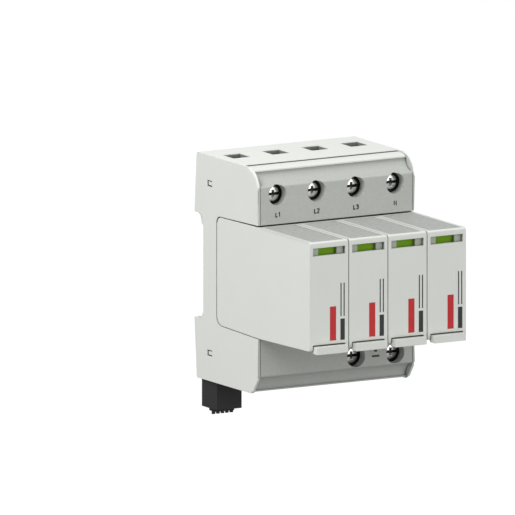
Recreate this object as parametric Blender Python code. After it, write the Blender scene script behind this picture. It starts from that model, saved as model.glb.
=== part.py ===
"""Pluggable surge arrester for a 35 mm DIN rail: C-shaped base with cage terminals, four plug-in modules.

Lengths are in millimetres here and become metres where a mesh is made. X runs to the right of someone who
faces the device, Y into the wall, Z up. The origin is the centre of the face that seats on the rail.
"""

import math

import bmesh
import bpy

MM = 0.001

# Poles and outer form
POLES = 4
POLE_PITCH = 17.8
BODY_HEIGHT = 90.0
SHOULDER_DEPTH = 43.0
MODULE_DEPTH = 83.4
LEG_DEPTH_END = 5.1
LEG_DEPTH_RAIL = 6.9
TOP_NOSE_RADIUS = 9.0
CHIN_HEIGHT = 6.6
CHIN_DEPTH = 4.7
EDGE_ROUNDING = 0.8
CORNER_ROUNDING = 0.7
ARC_STEP = math.radians(11.25)

# Clearances
FIT_GAP = 0.3
SEAM_GAP = 0.2

# Walls of the base
END_WALL = 1.0
SHELL_WALL = 1.5
PARTITION = 1.0
BAY_WALL = 1.5
SHELF_WALL = 1.6

# Bay for the modules
BAY_FLOOR_DEPTH = 10.2
BAY_HEIGHT_REAR = 43.5
BAY_MOUTH_FLARE = 0.9
BAY_RADIUS_TOP = 2.8
BAY_RADIUS_BOTTOM = 3.4

# Rail and what grips it
RAIL_HEIGHT = 35.0
RAIL_THICKNESS = 1.0
NOTCH_MARGIN = 3.5
NOTCH_RADIUS = 4.0
HOOK_OVERLAP = 1.2
HOOK_THICKNESS = 2.1
SEAT_PLATE = 2.5

# Terminals
TERMINAL_RISE = 0.325
EARTH_RISE = -0.375
SCREW_HOLE = 8.3
SLEEVE_WALL = 1.05
SLEEVE_DEPTH = 4.0
SCREW_HEAD = 6.4
SCREW_HEAD_HEIGHT = 2.7
SCREW_SHANK = 5.0
SCREW_SUPPORT = 1.2
DRIVE_SLOT = 1.1
DRIVE_DEPTH = 1.2
ENTRY_WIDTH = 8.0
ENTRY_DEPTH = 8.9
ENTRY_CENTRE = 10.9
CAGE_HEIGHT = 8.0
CAGE_WALL = 1.2
CAGE_NUT = 3.0
BAR_THICKNESS = 1.0
BAR_WIDTH = 7.0

# Terminal covers
COVER_WALL = 1.6
COVER_DROP = 0.35
GROOVE_SETBACK = 11.7
GROOVE_WIDTH = 0.7
LIP_SETBACK = 5.0
LIP_EDGE = 0.75
COVE_RADIUS = 6.3
COVE_TOP_UPPER = 1.45
COVE_TOP_LOWER = 0.8
LOWER_LIP_RADIUS = 7.0
COVE_BOTTOM = 6.6
CREASE_ROUNDING = 0.8

# Modules
MODULE_GAP = 0.3
MODULE_TOP = 22.05
MODULE_BOTTOM = 21.45
MODULE_WALL = 1.2
MODULE_EDGE = 0.5
MODULE_CORNER = 0.8
MODULE_RIM = 4.0
BASE_PLATE = 1.8
PANEL_BORDER = 1.6
PANEL_RECESS = 0.1
PANEL_START = 1.0
WINDOW_WIDTH = 14.6
WINDOW_TOP = 19.6
WINDOW_HEIGHT = 3.1
GRIP_WIDTH = 14.1
GRIP_REACH = 2.9
GRIP_TOP = 19.6
GRIP_HEIGHT = 2.9
GRIP_SLOT = 0.5
GRIP_ROOT = 3.9

# Parts inside a module
BLADE_THICKNESS = 0.8
BLADE_WIDTH = 7.0
BLADE_HEIGHT = 12.0
BLADE_REACH = 6.4
CORE_SIDE = 36.0
CORE_THICKNESS = 6.0
CORE_FRONT = 72.0
CORE_CORNER = 6.0
TUBE_DIAMETER = 28.0
TUBE_RIM = 1.4
PAD_LENGTH = 28.0
NECK_WIDTH = 5.0
SHOE_LENGTH = 3.0
SHOE_EXTRA = 1.0
INSERT_FACE = 1.2
INSERT_CHEEK = 1.2
INSERT_BACK = 1.0
INSERT_OPENING = 8.4
INSERT_LENGTH = 8.5
FLAG_THICKNESS = 0.8
FLAG_HEIGHT = 4.7
FLAG_STEM = 4.0
FLAG_FOOT = 2.0
FLAG_STEM_LENGTH = 12.5

# Contacts behind the floor of the bay
CONTACT_THICKNESS = 0.8
CLIP_LEAF = 0.6
CLIP_GAP = 0.3
BUS_HEIGHT = 4.0
BUS_DROP = 6.5
RISER_WIDTH = 3.0

# Rail latches
LATCH_WIDTH = 8.0
LATCH_THICKNESS = 2.2
LATCH_TAIL = 2.8
LATCH_SLOT_WIDTH = 2.8
LATCH_NECK = 9.2
LATCH_SOLE = 10.5
PULL_SLOT_WIDTH = 4.0
PULL_SLOT_HEIGHT = 1.2
PEG_HEIGHT = 1.2
SPRING_DIAMETER = 2.0
SPRING_WIRE = 0.44
SPRING_TURNS = 7

# Rear cover
LEG_WALL = 1.8
ARM_THICKNESS = 1.7
ARM_LENGTH = 5.0
TAB_LENGTH = 2.8
TAB_HEIGHT = 1.5
TAB_GAP = 0.45
TAB_FROM_RAIL = 5.1
TAB_FROM_TOP = 11.15

# Remote signalling
PLUG_INSET = 1.5
PLUG_WIDTH = 11.2
PLUG_FRONT = 8.2
PLUG_LENGTH = 11.9
PLUG_HEIGHT = 15.35
PLUG_SINK = 4.0
COLLAR_HEIGHT = 2.3
COLLAR_WIDTH = 9.8
COLLAR_FRONT = 3.6
COLLAR_LENGTH = 3.3
COLLAR_FINGERS = 5
FINGER_DEPTH = 0.9
WIRE_HOLE = 2.4
WIRE_HOLE_DEPTH = 5.0
CORE_POLES = 3
CORE_PITCH = 3.81
PIN_WIDTH = 1.0
PIN_SOCKET = 1.6
PIN_LENGTH = 6.0
HEADER_HEIGHT = 4.1
BOARD_THICKNESS = 1.0
BOARD_TOP = 4.0
SWITCH_WIDTH = 5.0
SWITCH_HEIGHT = 6.0
BUTTON_REACH = 1.0
SLIDER_HEIGHT = 3.0
SLIDER_THICKNESS = 2.0
SLIDER_TRAVEL = 2.2
TOOTH_WIDTH = 1.6
TOOTH_OFFSET = 6.0

# Heights and depths that follow
BODY_HALF = POLES * POLE_PITCH / 2
TOP = BODY_HEIGHT / 2
INNER_HALF = BODY_HALF - END_WALL
POLE_CENTRES = [(pole + 0.5) * POLE_PITCH - BODY_HALF for pole in range(POLES)]
EARTH_CENTRES = POLE_CENTRES[-2:]
BAY_HALF = BAY_HEIGHT_REAR / 2
BAY_MOUTH = BAY_HALF + BAY_MOUTH_FLARE
SHELF_TOP = BAY_MOUTH + SHELF_WALL
CEILING = TOP - SHELL_WALL
NOTCH_HALF = RAIL_HEIGHT / 2 + NOTCH_MARGIN
GROOVE_DEPTH = SHOULDER_DEPTH - GROOVE_SETBACK
LIP_DEPTH = SHOULDER_DEPTH - LIP_SETBACK
TERMINAL_HEIGHT = (SHELF_TOP + CEILING) / 2 + TERMINAL_RISE
EARTH_HEIGHT = (SHELF_TOP + CEILING) / 2 + EARTH_RISE
TAB_CENTRE = TOP - TAB_FROM_TOP
PLUG_LEFT = BODY_HALF - PLUG_INSET
PLUG_TOP = TOP - PLUG_SINK
PLUG_BOTTOM = PLUG_TOP + PLUG_HEIGHT
FLOOR_REAR = -BAY_FLOOR_DEPTH + BAY_WALL
CONTACT_REAR = -SEAT_PLATE - FIT_GAP
CONTACT_FRONT = CONTACT_REAR - CONTACT_THICKNESS
ENTRY_REAR = -ENTRY_CENTRE + ENTRY_DEPTH / 2
ENTRY_FRONT = -ENTRY_CENTRE - ENTRY_DEPTH / 2
BAR_REAR = ENTRY_FRONT - SEAM_GAP
BAR_FRONT = BAR_REAR - BAR_THICKNESS
SLEEVE_END = -SHOULDER_DEPTH + SLEEVE_DEPTH
HEAD_FACE = SLEEVE_END - SEAM_GAP
HEAD_REAR = HEAD_FACE + SCREW_HEAD_HEIGHT
SUPPORT_FRONT = HEAD_REAR + FIT_GAP
SUPPORT_REAR = SUPPORT_FRONT + SCREW_SUPPORT
MODULE_REAR = -BAY_FLOOR_DEPTH - FIT_GAP
MODULE_HALF = (POLE_PITCH - MODULE_GAP) / 2
BLADE_OFFSET = CORE_THICKNESS / 2 + FIT_GAP + BLADE_THICKNESS / 2
BLADE_TIP = MODULE_REAR + BLADE_REACH
LATCH_FRONT = RAIL_THICKNESS + FIT_GAP
LATCH_TOP = RAIL_HEIGHT / 2 - HOOK_OVERLAP
LATCH_BOTTOM = TOP + LATCH_TAIL
LATCH_SLOT_TOP = LATCH_TOP + LATCH_NECK
LATCH_SLOT_BOTTOM = LATCH_BOTTOM - LATCH_SOLE
LATCH_CENTRES = (-POLE_PITCH, POLE_PITCH)


# Shapes as outlines
def rounded(corners):
    """The outline through corners (a, b, radius), with an arc in place of each corner that has a radius."""
    points = []
    for index, (a, b, radius) in enumerate(corners):
        before = corners[index - 1]
        after = corners[(index + 1) % len(corners)]
        into = unit(a - before[0], b - before[1])
        out = unit(after[0] - a, after[1] - b)
        turn = math.atan2(into[0] * out[1] - into[1] * out[0], into[0] * out[0] + into[1] * out[1])
        if radius == 0 or abs(turn) < 0.01:
            points.append((a, b))
            continue
        run = radius * math.tan(abs(turn) / 2)
        side = math.copysign(radius, turn)
        centre = (a - into[0] * run - into[1] * side, b - into[1] * run + into[0] * side)
        start = math.atan2(into[0], -into[1]) + (math.pi if turn > 0 else 0)
        steps = max(1, round(abs(turn) / ARC_STEP))
        for step in range(steps + 1):
            angle = start + turn * step / steps
            points.append((centre[0] + radius * math.cos(angle), centre[1] + radius * math.sin(angle)))
    return points


def unit(a, b):
    length = math.hypot(a, b)
    return a / length, b / length


def rectangle(a0, a1, b0, b1):
    return [(a0, b0), (a1, b0), (a1, b1), (a0, b1)]


def circle(a, b, radius, sides):
    turns = [2 * math.pi * (side + 0.5) / sides for side in range(sides)]
    return [(a + radius * math.cos(turn), b + radius * math.sin(turn)) for turn in turns]


def mirrored(outline):
    """The outline with its second coordinate turned over, for what repeats below the rail."""
    return [(a, -b) for a, b in reversed(outline)]


# Solids from outlines
PLACES = {
    "X": lambda along, a, b: (along, a, b),
    "Y": lambda along, a, b: (a, along, b),
    "Z": lambda along, a, b: (a, b, along),
}


def add_prism(mesh, prism):
    """Adds a prism (axis, outline, low, high) to the mesh, with the outline in the other two axes' order."""
    axis, outline, low, high = prism
    rings = [[mesh.verts.new(PLACES[axis](end, a, b)) for a, b in outline] for end in (low, high)]
    mesh.faces.new(rings[0])
    mesh.faces.new(reversed(rings[1]))
    for index in range(len(outline)):
        after = (index + 1) % len(outline)
        mesh.faces.new((rings[0][after], rings[0][index], rings[1][index], rings[1][after]))


def add_turned(mesh, axis, profile, centre, sides):
    """Adds a solid of revolution about the axis, from (along, radius) points with both ends at radius 0."""
    rings = []
    for along, radius in profile:
        if radius == 0:
            rings.append([mesh.verts.new(PLACES[axis](along, *centre))])
        else:
            ring = circle(*centre, radius, sides)
            rings.append([mesh.verts.new(PLACES[axis](along, a, b)) for a, b in ring])
    for first, second in zip(rings, rings[1:]):
        for side in range(sides):
            after = (side + 1) % sides
            corners = [first[side % len(first)], first[after % len(first)]]
            corners += [second[after % len(second)], second[side % len(second)]]
            mesh.faces.new(list(dict.fromkeys(corners)))


def box(x0, x1, y0, y1, z0, z1):
    return "Z", rectangle(x0, x1, y0, y1), z0, z1


def finish(name, mesh, material=None, origin=(0, 0, 0)):
    """Makes an object from a mesh in millimetres, with its origin at the point given."""
    bmesh.ops.recalc_face_normals(mesh, faces=mesh.faces)
    bmesh.ops.translate(mesh, verts=mesh.verts, vec=[-value for value in origin])
    bmesh.ops.scale(mesh, verts=mesh.verts, vec=(MM, MM, MM))
    data = bpy.data.meshes.new(name)
    mesh.to_mesh(data)
    mesh.free()
    piece = bpy.data.objects.new(name, data)
    piece.location = [value * MM for value in origin]
    if material:
        data.materials.append(material)
    bpy.context.scene.collection.objects.link(piece)
    return piece


def solid(name, prisms, material=None, origin=(0, 0, 0)):
    """An object made of one or more prisms."""
    mesh = bmesh.new()
    for prism in prisms:
        add_prism(mesh, prism)
    return finish(name, mesh, material, origin)


def combine(piece, operation, tool):
    tool.hide_render = True
    tool.display_type = "WIRE"
    modifier = piece.modifiers.new(tool.name, "BOOLEAN")
    modifier.operation = operation
    modifier.solver = "EXACT"
    modifier.object = tool


def cut(piece, label, prisms):
    """Takes prisms that lie apart from each other out of the piece."""
    combine(piece, "DIFFERENCE", solid(f"{piece.name}_{label}_cutter", prisms))


def fuse(piece, label, prisms):
    """Joins prisms that lie apart from each other to the piece."""
    combine(piece, "UNION", solid(f"{piece.name}_{label}_form", prisms))


def smooth(piece, degrees=35):
    piece.data.shade_smooth()
    piece.data.set_sharp_from_angle(angle=math.radians(degrees))


def material(name, colour, roughness, metallic=0.0):
    made = bpy.data.materials.new(name)
    made.use_nodes = True
    shader = made.node_tree.nodes["Principled BSDF"]
    shader.inputs["Base Color"].default_value = (*colour, 1.0)
    shader.inputs["Roughness"].default_value = roughness
    shader.inputs["Metallic"].default_value = metallic
    return made


# Base housing
def leg_depth(height):
    """How far the rear legs reach behind the rail face at a height."""
    share = (abs(height) - NOTCH_HALF) / (TOP - NOTCH_HALF)
    return LEG_DEPTH_RAIL + (LEG_DEPTH_END - LEG_DEPTH_RAIL) * share


def bay_height(depth):
    """Half height of the bay at a depth in front of the rail face: it flares towards its mouth."""
    share = (depth - BAY_FLOOR_DEPTH) / (SHOULDER_DEPTH - BAY_FLOOR_DEPTH)
    return BAY_HALF + BAY_MOUTH_FLARE * share


def housing_outline():
    """Side view (y, z) of the base: legs, rounded nose, bay and chamfered chin."""
    front = -SHOULDER_DEPTH
    corners = [
        (0, NOTCH_HALF, NOTCH_RADIUS),
        (LEG_DEPTH_RAIL, NOTCH_HALF, 0),
        (LEG_DEPTH_END, TOP, CORNER_ROUNDING),
        (front, TOP, TOP_NOSE_RADIUS),
        (front, BAY_MOUTH, 0),
        (-BAY_FLOOR_DEPTH, BAY_HALF, BAY_RADIUS_TOP),
        (-BAY_FLOOR_DEPTH, -BAY_HALF, BAY_RADIUS_BOTTOM),
        (front, -BAY_MOUTH, 0),
        (front, CHIN_HEIGHT - TOP, CHIN_DEPTH / 2),
        (front + CHIN_DEPTH, -TOP, CHIN_DEPTH / 2),
        (LEG_DEPTH_END, -TOP, CORNER_ROUNDING),
        (LEG_DEPTH_RAIL, -NOTCH_HALF, 0),
        (0, -NOTCH_HALF, NOTCH_RADIUS),
    ]
    return rounded(corners)


def round_side_edges(mesh):
    """Rounds the long edges of both side faces along the top, the front and the bottom."""
    edges = []
    for edge in mesh.edges:
        first, second = (vert.co for vert in edge.verts)
        middle = (first + second) / 2
        on_side = abs(first.x - second.x) < 0.001
        clear_of_bay = abs(middle.z) > BAY_MOUTH or middle.y < -SHOULDER_DEPTH + 0.001
        if on_side and clear_of_bay and middle.y < LEG_DEPTH_END - CORNER_ROUNDING:
            edges.append(edge)
    bmesh.ops.bevel(mesh, geom=edges, offset=EDGE_ROUNDING, segments=2, profile=0.5, affect="EDGES")


def make_base_housing(plastic):
    mesh = bmesh.new()
    add_prism(mesh, ("X", housing_outline(), -BODY_HALF, BODY_HALF))
    round_side_edges(mesh)
    housing = finish("base_housing", mesh, plastic)
    above_shelf = SHELF_TOP + PARTITION
    rear_void = [
        (CONTACT_FRONT - 1.0, CEILING),
        (2 * LEG_DEPTH_RAIL, CEILING),
        (2 * LEG_DEPTH_RAIL, -CEILING),
        (CONTACT_FRONT - 1.0, -CEILING),
        (CONTACT_FRONT - 1.0, -above_shelf),
        (FLOOR_REAR, -above_shelf),
        (FLOOR_REAR, above_shelf),
        (CONTACT_FRONT - 1.0, above_shelf),
    ]
    cut(housing, "rear", [("X", rear_void, -INNER_HALF, INNER_HALF)])

    ledge = TOP - COVER_DROP - COVER_WALL - FIT_GAP
    shelf_end = -SHOULDER_DEPTH + COVER_WALL + FIT_GAP
    cover_seat = [
        (-2 * SHOULDER_DEPTH, BAY_HALF / 2),
        (shelf_end, BAY_HALF / 2),
        (shelf_end, SHELF_TOP),
        (SUPPORT_FRONT, SHELF_TOP),
        (SUPPORT_FRONT, ledge),
        (-GROOVE_DEPTH, ledge),
        (-GROOVE_DEPTH, 2 * TOP),
        (-2 * SHOULDER_DEPTH, 2 * TOP),
    ]
    chamber = [
        (SUPPORT_REAR, SHELF_TOP),
        (LEG_DEPTH_END / 2, SHELF_TOP),
        (LEG_DEPTH_END / 2, CEILING),
        (-GROOVE_DEPTH + SHELL_WALL, CEILING),
        (-GROOVE_DEPTH + SHELL_WALL, ledge - SHELL_WALL),
        (SUPPORT_REAR, ledge - SHELL_WALL),
    ]
    for label, turned_over in (("upper", False), ("lower", True)):
        seat = mirrored(cover_seat) if turned_over else cover_seat
        room = mirrored(chamber) if turned_over else chamber
        cut(housing, f"{label}_seat", [("X", seat, -INNER_HALF, INNER_HALF)])
        rooms = []
        for pole, centre in enumerate(POLE_CENTRES):
            left = -INNER_HALF if pole == 0 else centre - (POLE_PITCH - PARTITION) / 2
            right = INNER_HALF if pole == POLES - 1 else centre + (POLE_PITCH - PARTITION) / 2
            rooms.append(("X", room, left, right))
        cut(housing, f"{label}_chambers", rooms)

    shank_hole = SCREW_SHANK / 2 + FIT_GAP
    rows = ((POLE_CENTRES, TERMINAL_HEIGHT, 1), (EARTH_CENTRES, -EARTH_HEIGHT, -1))
    holes = []
    entries = []
    for centres, height, way in rows:
        for x in centres:
            holes.append(("Y", circle(x, height, shank_hole, 12), SUPPORT_FRONT - 1, SUPPORT_REAR + 1))
            ends = sorted((way * (TOP + 1), way * (CEILING - 1)))
            entries.append(box(x - ENTRY_WIDTH / 2, x + ENTRY_WIDTH / 2, ENTRY_FRONT, ENTRY_REAR, *ends))
    cut(housing, "shank_holes", holes)

    openings = entries
    for x in LATCH_CENTRES:
        half = LATCH_WIDTH / 2 + FIT_GAP
        rear = LATCH_FRONT + LATCH_THICKNESS + FIT_GAP
        openings.append(box(x - half, x + half, RAIL_THICKNESS, rear, -TOP - 1, 1 - CEILING))
    plug_right = -PLUG_LEFT + PLUG_WIDTH + FIT_GAP
    plug_rear = -PLUG_FRONT + PLUG_LENGTH + FIT_GAP
    plug_left = -PLUG_LEFT - FIT_GAP
    openings.append(box(plug_left, plug_right, -PLUG_FRONT - FIT_GAP, plug_rear, -TOP - 1, 1 - CEILING))
    cut(housing, "openings", openings)

    slots = []
    through_floor = (-BAY_FLOOR_DEPTH - 1, FLOOR_REAR + 1)
    for x in POLE_CENTRES:
        for way in (1, -1):
            across = x - way * BLADE_OFFSET
            slots.append(blade_slot(across, way * BLADE_HEIGHT, FIT_GAP, *through_floor))
        tooth = x + TOOTH_OFFSET
        left = tooth - TOOTH_WIDTH / 2 - SLIDER_TRAVEL - FIT_GAP
        half = SLIDER_HEIGHT / 2
        slots.append(box(left, tooth + TOOTH_WIDTH / 2 + FIT_GAP, *through_floor, -half, half))
    cut(housing, "floor_slots", slots)

    windows = []
    length = TAB_LENGTH / 2 + TAB_GAP
    height = TAB_HEIGHT / 2 + TAB_GAP
    for side in (-1, 1):
        for z in (TAB_CENTRE, -TAB_CENTRE):
            ends = sorted((side * (BODY_HALF + 1), side * (INNER_HALF - 0.5)))
            window = rectangle(-TAB_FROM_RAIL - length, -TAB_FROM_RAIL + length, z - height, z + height)
            windows.append(("X", window, *ends))
    cut(housing, "tab_windows", windows)
    return housing


def blade_slot(x, z, gap, y0, y1):
    half = BLADE_THICKNESS / 2 + gap
    reach = BLADE_WIDTH / 2 + gap
    return box(x - half, x + half, y0, y1, z - reach, z + reach)


# Rear cover
def make_rear_cover(plastic):
    inside = CEILING - FIT_GAP
    notch = NOTCH_HALF
    hook_rear = LATCH_FRONT + HOOK_THICKNESS
    outline = [
        (-SEAT_PLATE, inside),
        (leg_depth(inside), inside),
        (LEG_DEPTH_RAIL, notch),
        (hook_rear + 1.0, notch - 1.2),
        (hook_rear, LATCH_TOP),
        (LATCH_FRONT, LATCH_TOP),
        (LATCH_FRONT, RAIL_HEIGHT / 2 + FIT_GAP),
        (0, RAIL_HEIGHT / 2 + FIT_GAP),
        (0, -RAIL_HEIGHT / 2 - FIT_GAP),
        (hook_rear, -notch + 0.5),
        (LEG_DEPTH_RAIL, -notch),
        (leg_depth(inside), -inside),
        (-SEAT_PLATE, -inside),
    ]
    width = INNER_HALF - FIT_GAP
    cover = solid("rear_cover", [("X", outline, -width, width)], plastic)

    latch_half = LATCH_WIDTH / 2 + FIT_GAP
    rib = PARTITION
    pocket_low = notch + LEG_WALL
    pocket_high = inside - LEG_WALL
    upper_pocket = [
        (-2 * SEAT_PLATE, pocket_low),
        (leg_depth(pocket_low) - LEG_WALL, pocket_low),
        (leg_depth(pocket_high) - LEG_WALL, pocket_high),
        (-2 * SEAT_PLATE, pocket_high),
    ]
    pocket_half = POLE_PITCH / 2 - rib
    side = width - LEG_WALL
    pockets = []
    for x in POLE_CENTRES:
        pockets.append(("X", upper_pocket, max(-side, x - pocket_half), min(side, x + pocket_half)))
    cut(cover, "upper_pockets", pockets)

    plug_left = -2 * BODY_HALF
    plug_right = -PLUG_LEFT + PLUG_WIDTH + 2 * FIT_GAP
    plug_rear = -PLUG_FRONT + PLUG_LENGTH + FIT_GAP
    notch_top = HEADER_HEIGHT - PLUG_TOP + 2 * FIT_GAP
    cut(cover, "plug_notch", [box(plug_left, plug_right, -2 * SEAT_PLATE, plug_rear, -TOP, notch_top)])

    lower_pocket = mirrored(upper_pocket)
    middle = POLE_PITCH - latch_half - rib
    outer = POLE_PITCH + latch_half + rib
    spans = ((-middle, -rib / 2), (rib / 2, middle), (outer, side))
    cut(cover, "lower_pockets", [("X", lower_pocket, left, right) for left, right in spans])

    tunnels = []
    for x in LATCH_CENTRES:
        rear = LATCH_FRONT + LATCH_THICKNESS + FIT_GAP
        tunnels.append(box(x - latch_half, x + latch_half, RAIL_THICKNESS, rear, -TOP - 1, 1 - LATCH_TOP))
    cut(cover, "latch_tunnels", tunnels)

    pegs = []
    peg_low = peg_bottom()
    for x in LATCH_CENTRES:
        half = LATCH_SLOT_WIDTH / 2 - FIT_GAP - 0.1
        rear = LATCH_FRONT + LATCH_THICKNESS
        pegs.append(box(x - half, x + half, RAIL_THICKNESS - 0.5, rear, peg_low, peg_low + PEG_HEIGHT))
    fuse(cover, "spring_pegs", pegs)

    arms = []
    tabs = []
    for side in (-1, 1):
        for z in (TAB_CENTRE, -TAB_CENTRE):
            arm_ends = sorted((side * width, side * (width - ARM_THICKNESS)))
            y0 = -SEAT_PLATE - ARM_LENGTH
            arms.append(box(*arm_ends, y0, -SEAT_PLATE + 0.5, z - TAB_HEIGHT, z + TAB_HEIGHT))
            tab_ends = sorted((side * (width - 0.5), side * (BODY_HALF - FIT_GAP)))
            y1 = -TAB_FROM_RAIL + TAB_LENGTH / 2
            half = TAB_HEIGHT / 2
            tabs.append(box(*tab_ends, y1 - TAB_LENGTH, y1, z - half, z + half))
    fuse(cover, "snap_arms", arms)
    fuse(cover, "snap_tabs", tabs)
    return cover


def peg_bottom():
    """Lower face of the fixed peg that carries a latch's spring."""
    return -LATCH_SLOT_BOTTOM + FIT_GAP


# Terminal covers
def cover_outline(nose_radius, cove_top):
    """Side view (y, z) of a cover, solid to its rear: top, lip, cove below it and flat front."""
    top = TOP - COVER_DROP
    rear = -GROOVE_DEPTH - GROOVE_WIDTH
    cove = cove_points(cove_top)
    corners = [(rear, top, 0)]
    corners += [(y, z, 0) for y, z in nose_points(top, nose_radius)]
    corners += [(-LIP_DEPTH, cove[0][1], 0)]
    corners += [(y, z, 0) for y, z in cove[:-1]]
    corners += [(*cove[-1], CREASE_ROUNDING)]
    corners += [(-SHOULDER_DEPTH, BAY_MOUTH, 0), (rear, BAY_MOUTH, 0)]
    return rounded(corners)


def cove_points(cove_top):
    """Hollow curve (y, z) from under the lip down to the flat front."""
    top = TOP - COVER_DROP
    under_lip = (-LIP_DEPTH + LIP_EDGE, top - cove_top)
    return hollow_arc(under_lip, (-SHOULDER_DEPTH, top - COVE_BOTTOM), COVE_RADIUS)


def room_outline():
    """Side view (y, z) of the room behind the upper cover's wall."""
    ceiling = TOP - COVER_DROP - COVER_WALL
    wall = -SHOULDER_DEPTH + COVER_WALL
    crease = TOP - COVER_DROP - COVE_BOTTOM - COVER_WALL / 2
    step = SUPPORT_FRONT - FIT_GAP
    inner_arc = hollow_arc((step, ceiling - COVER_WALL / 2), (wall, crease), COVE_RADIUS)
    past_rear = -GROOVE_DEPTH + COVER_WALL
    below = BAY_MOUTH - COVER_WALL
    return [(past_rear, ceiling), (step, ceiling)] + inner_arc + [(wall, below), (past_rear, below)]


def nose_points(top, radius):
    """Points of the lip's rounded top, on the nose's arc, from its start to the lip's front edge."""
    start = -SHOULDER_DEPTH + radius
    reach = start + LIP_DEPTH
    points = []
    for share in (0, 0.35, 0.7, 1):
        y = start - share * reach
        points.append((y, top - radius + math.sqrt(radius**2 - (start - y) ** 2)))
    return points


def hollow_arc(start, end, radius):
    """Points of the arc from start to end whose centre lies in front of and above them."""
    chord = math.dist(start, end)
    along = ((end[0] - start[0]) / chord, (end[1] - start[1]) / chord)
    rise = math.sqrt(radius**2 - chord**2 / 4)
    centre = ((start[0] + end[0]) / 2 + along[1] * rise, (start[1] + end[1]) / 2 - along[0] * rise)
    first = math.atan2(start[1] - centre[1], start[0] - centre[0])
    last = math.atan2(end[1] - centre[1], end[0] - centre[0])
    steps = 8
    points = []
    for step in range(steps + 1):
        angle = first + (last - first) * step / steps
        points.append((centre[0] + radius * math.cos(angle), centre[1] + radius * math.sin(angle)))
    return points


def make_terminal_cover(name, plastic, screw_centres, screw_height, turned_over):
    """Cover of one shoulder, hollow behind its wall but for a sleeve round each screw."""
    outline = cover_outline(TOP_NOSE_RADIUS, COVE_TOP_UPPER)
    if turned_over:
        outline = mirrored(cover_outline(LOWER_LIP_RADIUS, COVE_TOP_LOWER))
    inside = mirrored(room_outline()) if turned_over else room_outline()
    width = INNER_HALF - SEAM_GAP
    cover = solid(name, [("X", outline, -width, width)], plastic)
    room = solid(f"{name}_room_cutter", [("X", inside, -width - 1, width + 1)])
    sleeve = SCREW_HOLE / 2 + SLEEVE_WALL
    front = -SHOULDER_DEPTH - 1
    sleeves = [("Y", circle(x, screw_height, sleeve, 20), front, SLEEVE_END) for x in screw_centres]
    cut(room, "sleeves", sleeves)
    combine(cover, "DIFFERENCE", room)
    hole = SCREW_HOLE / 2
    holes = [("Y", circle(x, screw_height, hole, 24), front, SLEEVE_END + 1) for x in screw_centres]
    cut(cover, "screw_holes", holes)
    return cover


# Terminal screws and clamping cages
def make_screw(name, steel, x, height):
    """Screw with a flat head, crossed drive slots and a plain shank whose tip bears on the contact bar."""
    head = SCREW_HEAD / 2
    shank = SCREW_SHANK / 2
    tip = BAR_FRONT - FIT_GAP
    profile = [
        (HEAD_FACE, 0),
        (HEAD_FACE, head - 0.5),
        (HEAD_FACE + 0.5, head),
        (HEAD_REAR, head),
        (HEAD_REAR, shank),
        (tip - 0.8, shank),
        (tip, shank - 0.8),
        (tip, 0),
    ]
    mesh = bmesh.new()
    add_turned(mesh, "Y", profile, (x, height), 20)
    screw = finish(name, mesh, steel, (x, HEAD_REAR, height))
    reach = head + 1
    slot = DRIVE_SLOT / 2
    wide = [
        (-reach, -slot),
        (-slot, -slot),
        (-slot, -reach / 2),
        (slot, -reach / 2),
        (slot, -slot),
        (reach, -slot),
        (reach, slot),
        (slot, slot),
        (slot, reach / 2),
        (-slot, reach / 2),
        (-slot, slot),
        (-reach, slot),
    ]
    cross = [(x + a, height + b) for a, b in wide]
    cut(screw, "drive", [("Y", cross, HEAD_FACE - 1, HEAD_FACE + DRIVE_DEPTH)])
    smooth(screw)
    return screw


def make_cage(name, steel, x, height):
    """Clamping cage: a ring round the wire and the contact bar, with the nut in its front wall."""
    inner = ENTRY_WIDTH / 2
    outer = inner + CAGE_WALL
    room_rear = ENTRY_REAR + FIT_GAP
    room_front = BAR_FRONT - 2 * FIT_GAP
    front = room_front - CAGE_NUT
    low = height - CAGE_HEIGHT / 2
    high = height + CAGE_HEIGHT / 2
    ring = rounded([
        (x - outer, front, 1.0),
        (x + outer, front, 1.0),
        (x + outer, room_rear + CAGE_WALL, 1.0),
        (x - outer, room_rear + CAGE_WALL, 1.0),
    ])
    cage = solid(name, [("Z", ring, low, high)], steel, (x, front, height))
    cut(cage, "room", [box(x - inner, x + inner, room_front, room_rear, low - 1, high + 1)])
    hole = circle(x, height, SCREW_SHANK / 2 + FIT_GAP, 12)
    cut(cage, "nut", [("Y", hole, front - 1, room_front + 1)])
    return cage


# Contacts
def terminal_strip(x, way):
    """Prism of the bent strip from a clamping cage to behind the bay's floor: bar and shelf run."""
    shelf = SHELF_TOP + FIT_GAP
    bar_end = TERMINAL_HEIGHT + CAGE_HEIGHT / 2 + 0.8
    bend = [
        (BAR_FRONT, shelf),
        (CONTACT_REAR, shelf),
        (CONTACT_REAR, shelf + BAR_THICKNESS),
        (BAR_REAR, shelf + BAR_THICKNESS),
        (BAR_REAR, bar_end),
        (BAR_FRONT, bar_end),
    ]
    if way < 0:
        bend = mirrored(bend)
    return "X", bend, x - BAR_WIDTH / 2, x + BAR_WIDTH / 2


def clip_leaves(x, way):
    """Two leaves that hold a module's blade between them."""
    z = way * BLADE_HEIGHT
    inner = BLADE_THICKNESS / 2 + CLIP_GAP
    front = FLOOR_REAR + FIT_GAP
    half = BLADE_WIDTH / 2
    leaves = []
    for side in (-1, 1):
        ends = sorted((x + side * inner, x + side * (inner + CLIP_LEAF)))
        leaves.append(box(*ends, front, CONTACT_REAR - 0.2, z - half, z + half))
    return leaves


def clip_half():
    return BLADE_THICKNESS / 2 + CLIP_GAP + CLIP_LEAF


def web(x0, x1, z0, z1):
    """Flat part of a contact, in the plane in front of the rear cover."""
    return box(x0, x1, CONTACT_FRONT, CONTACT_REAR, *sorted((z0, z1)))


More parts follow.
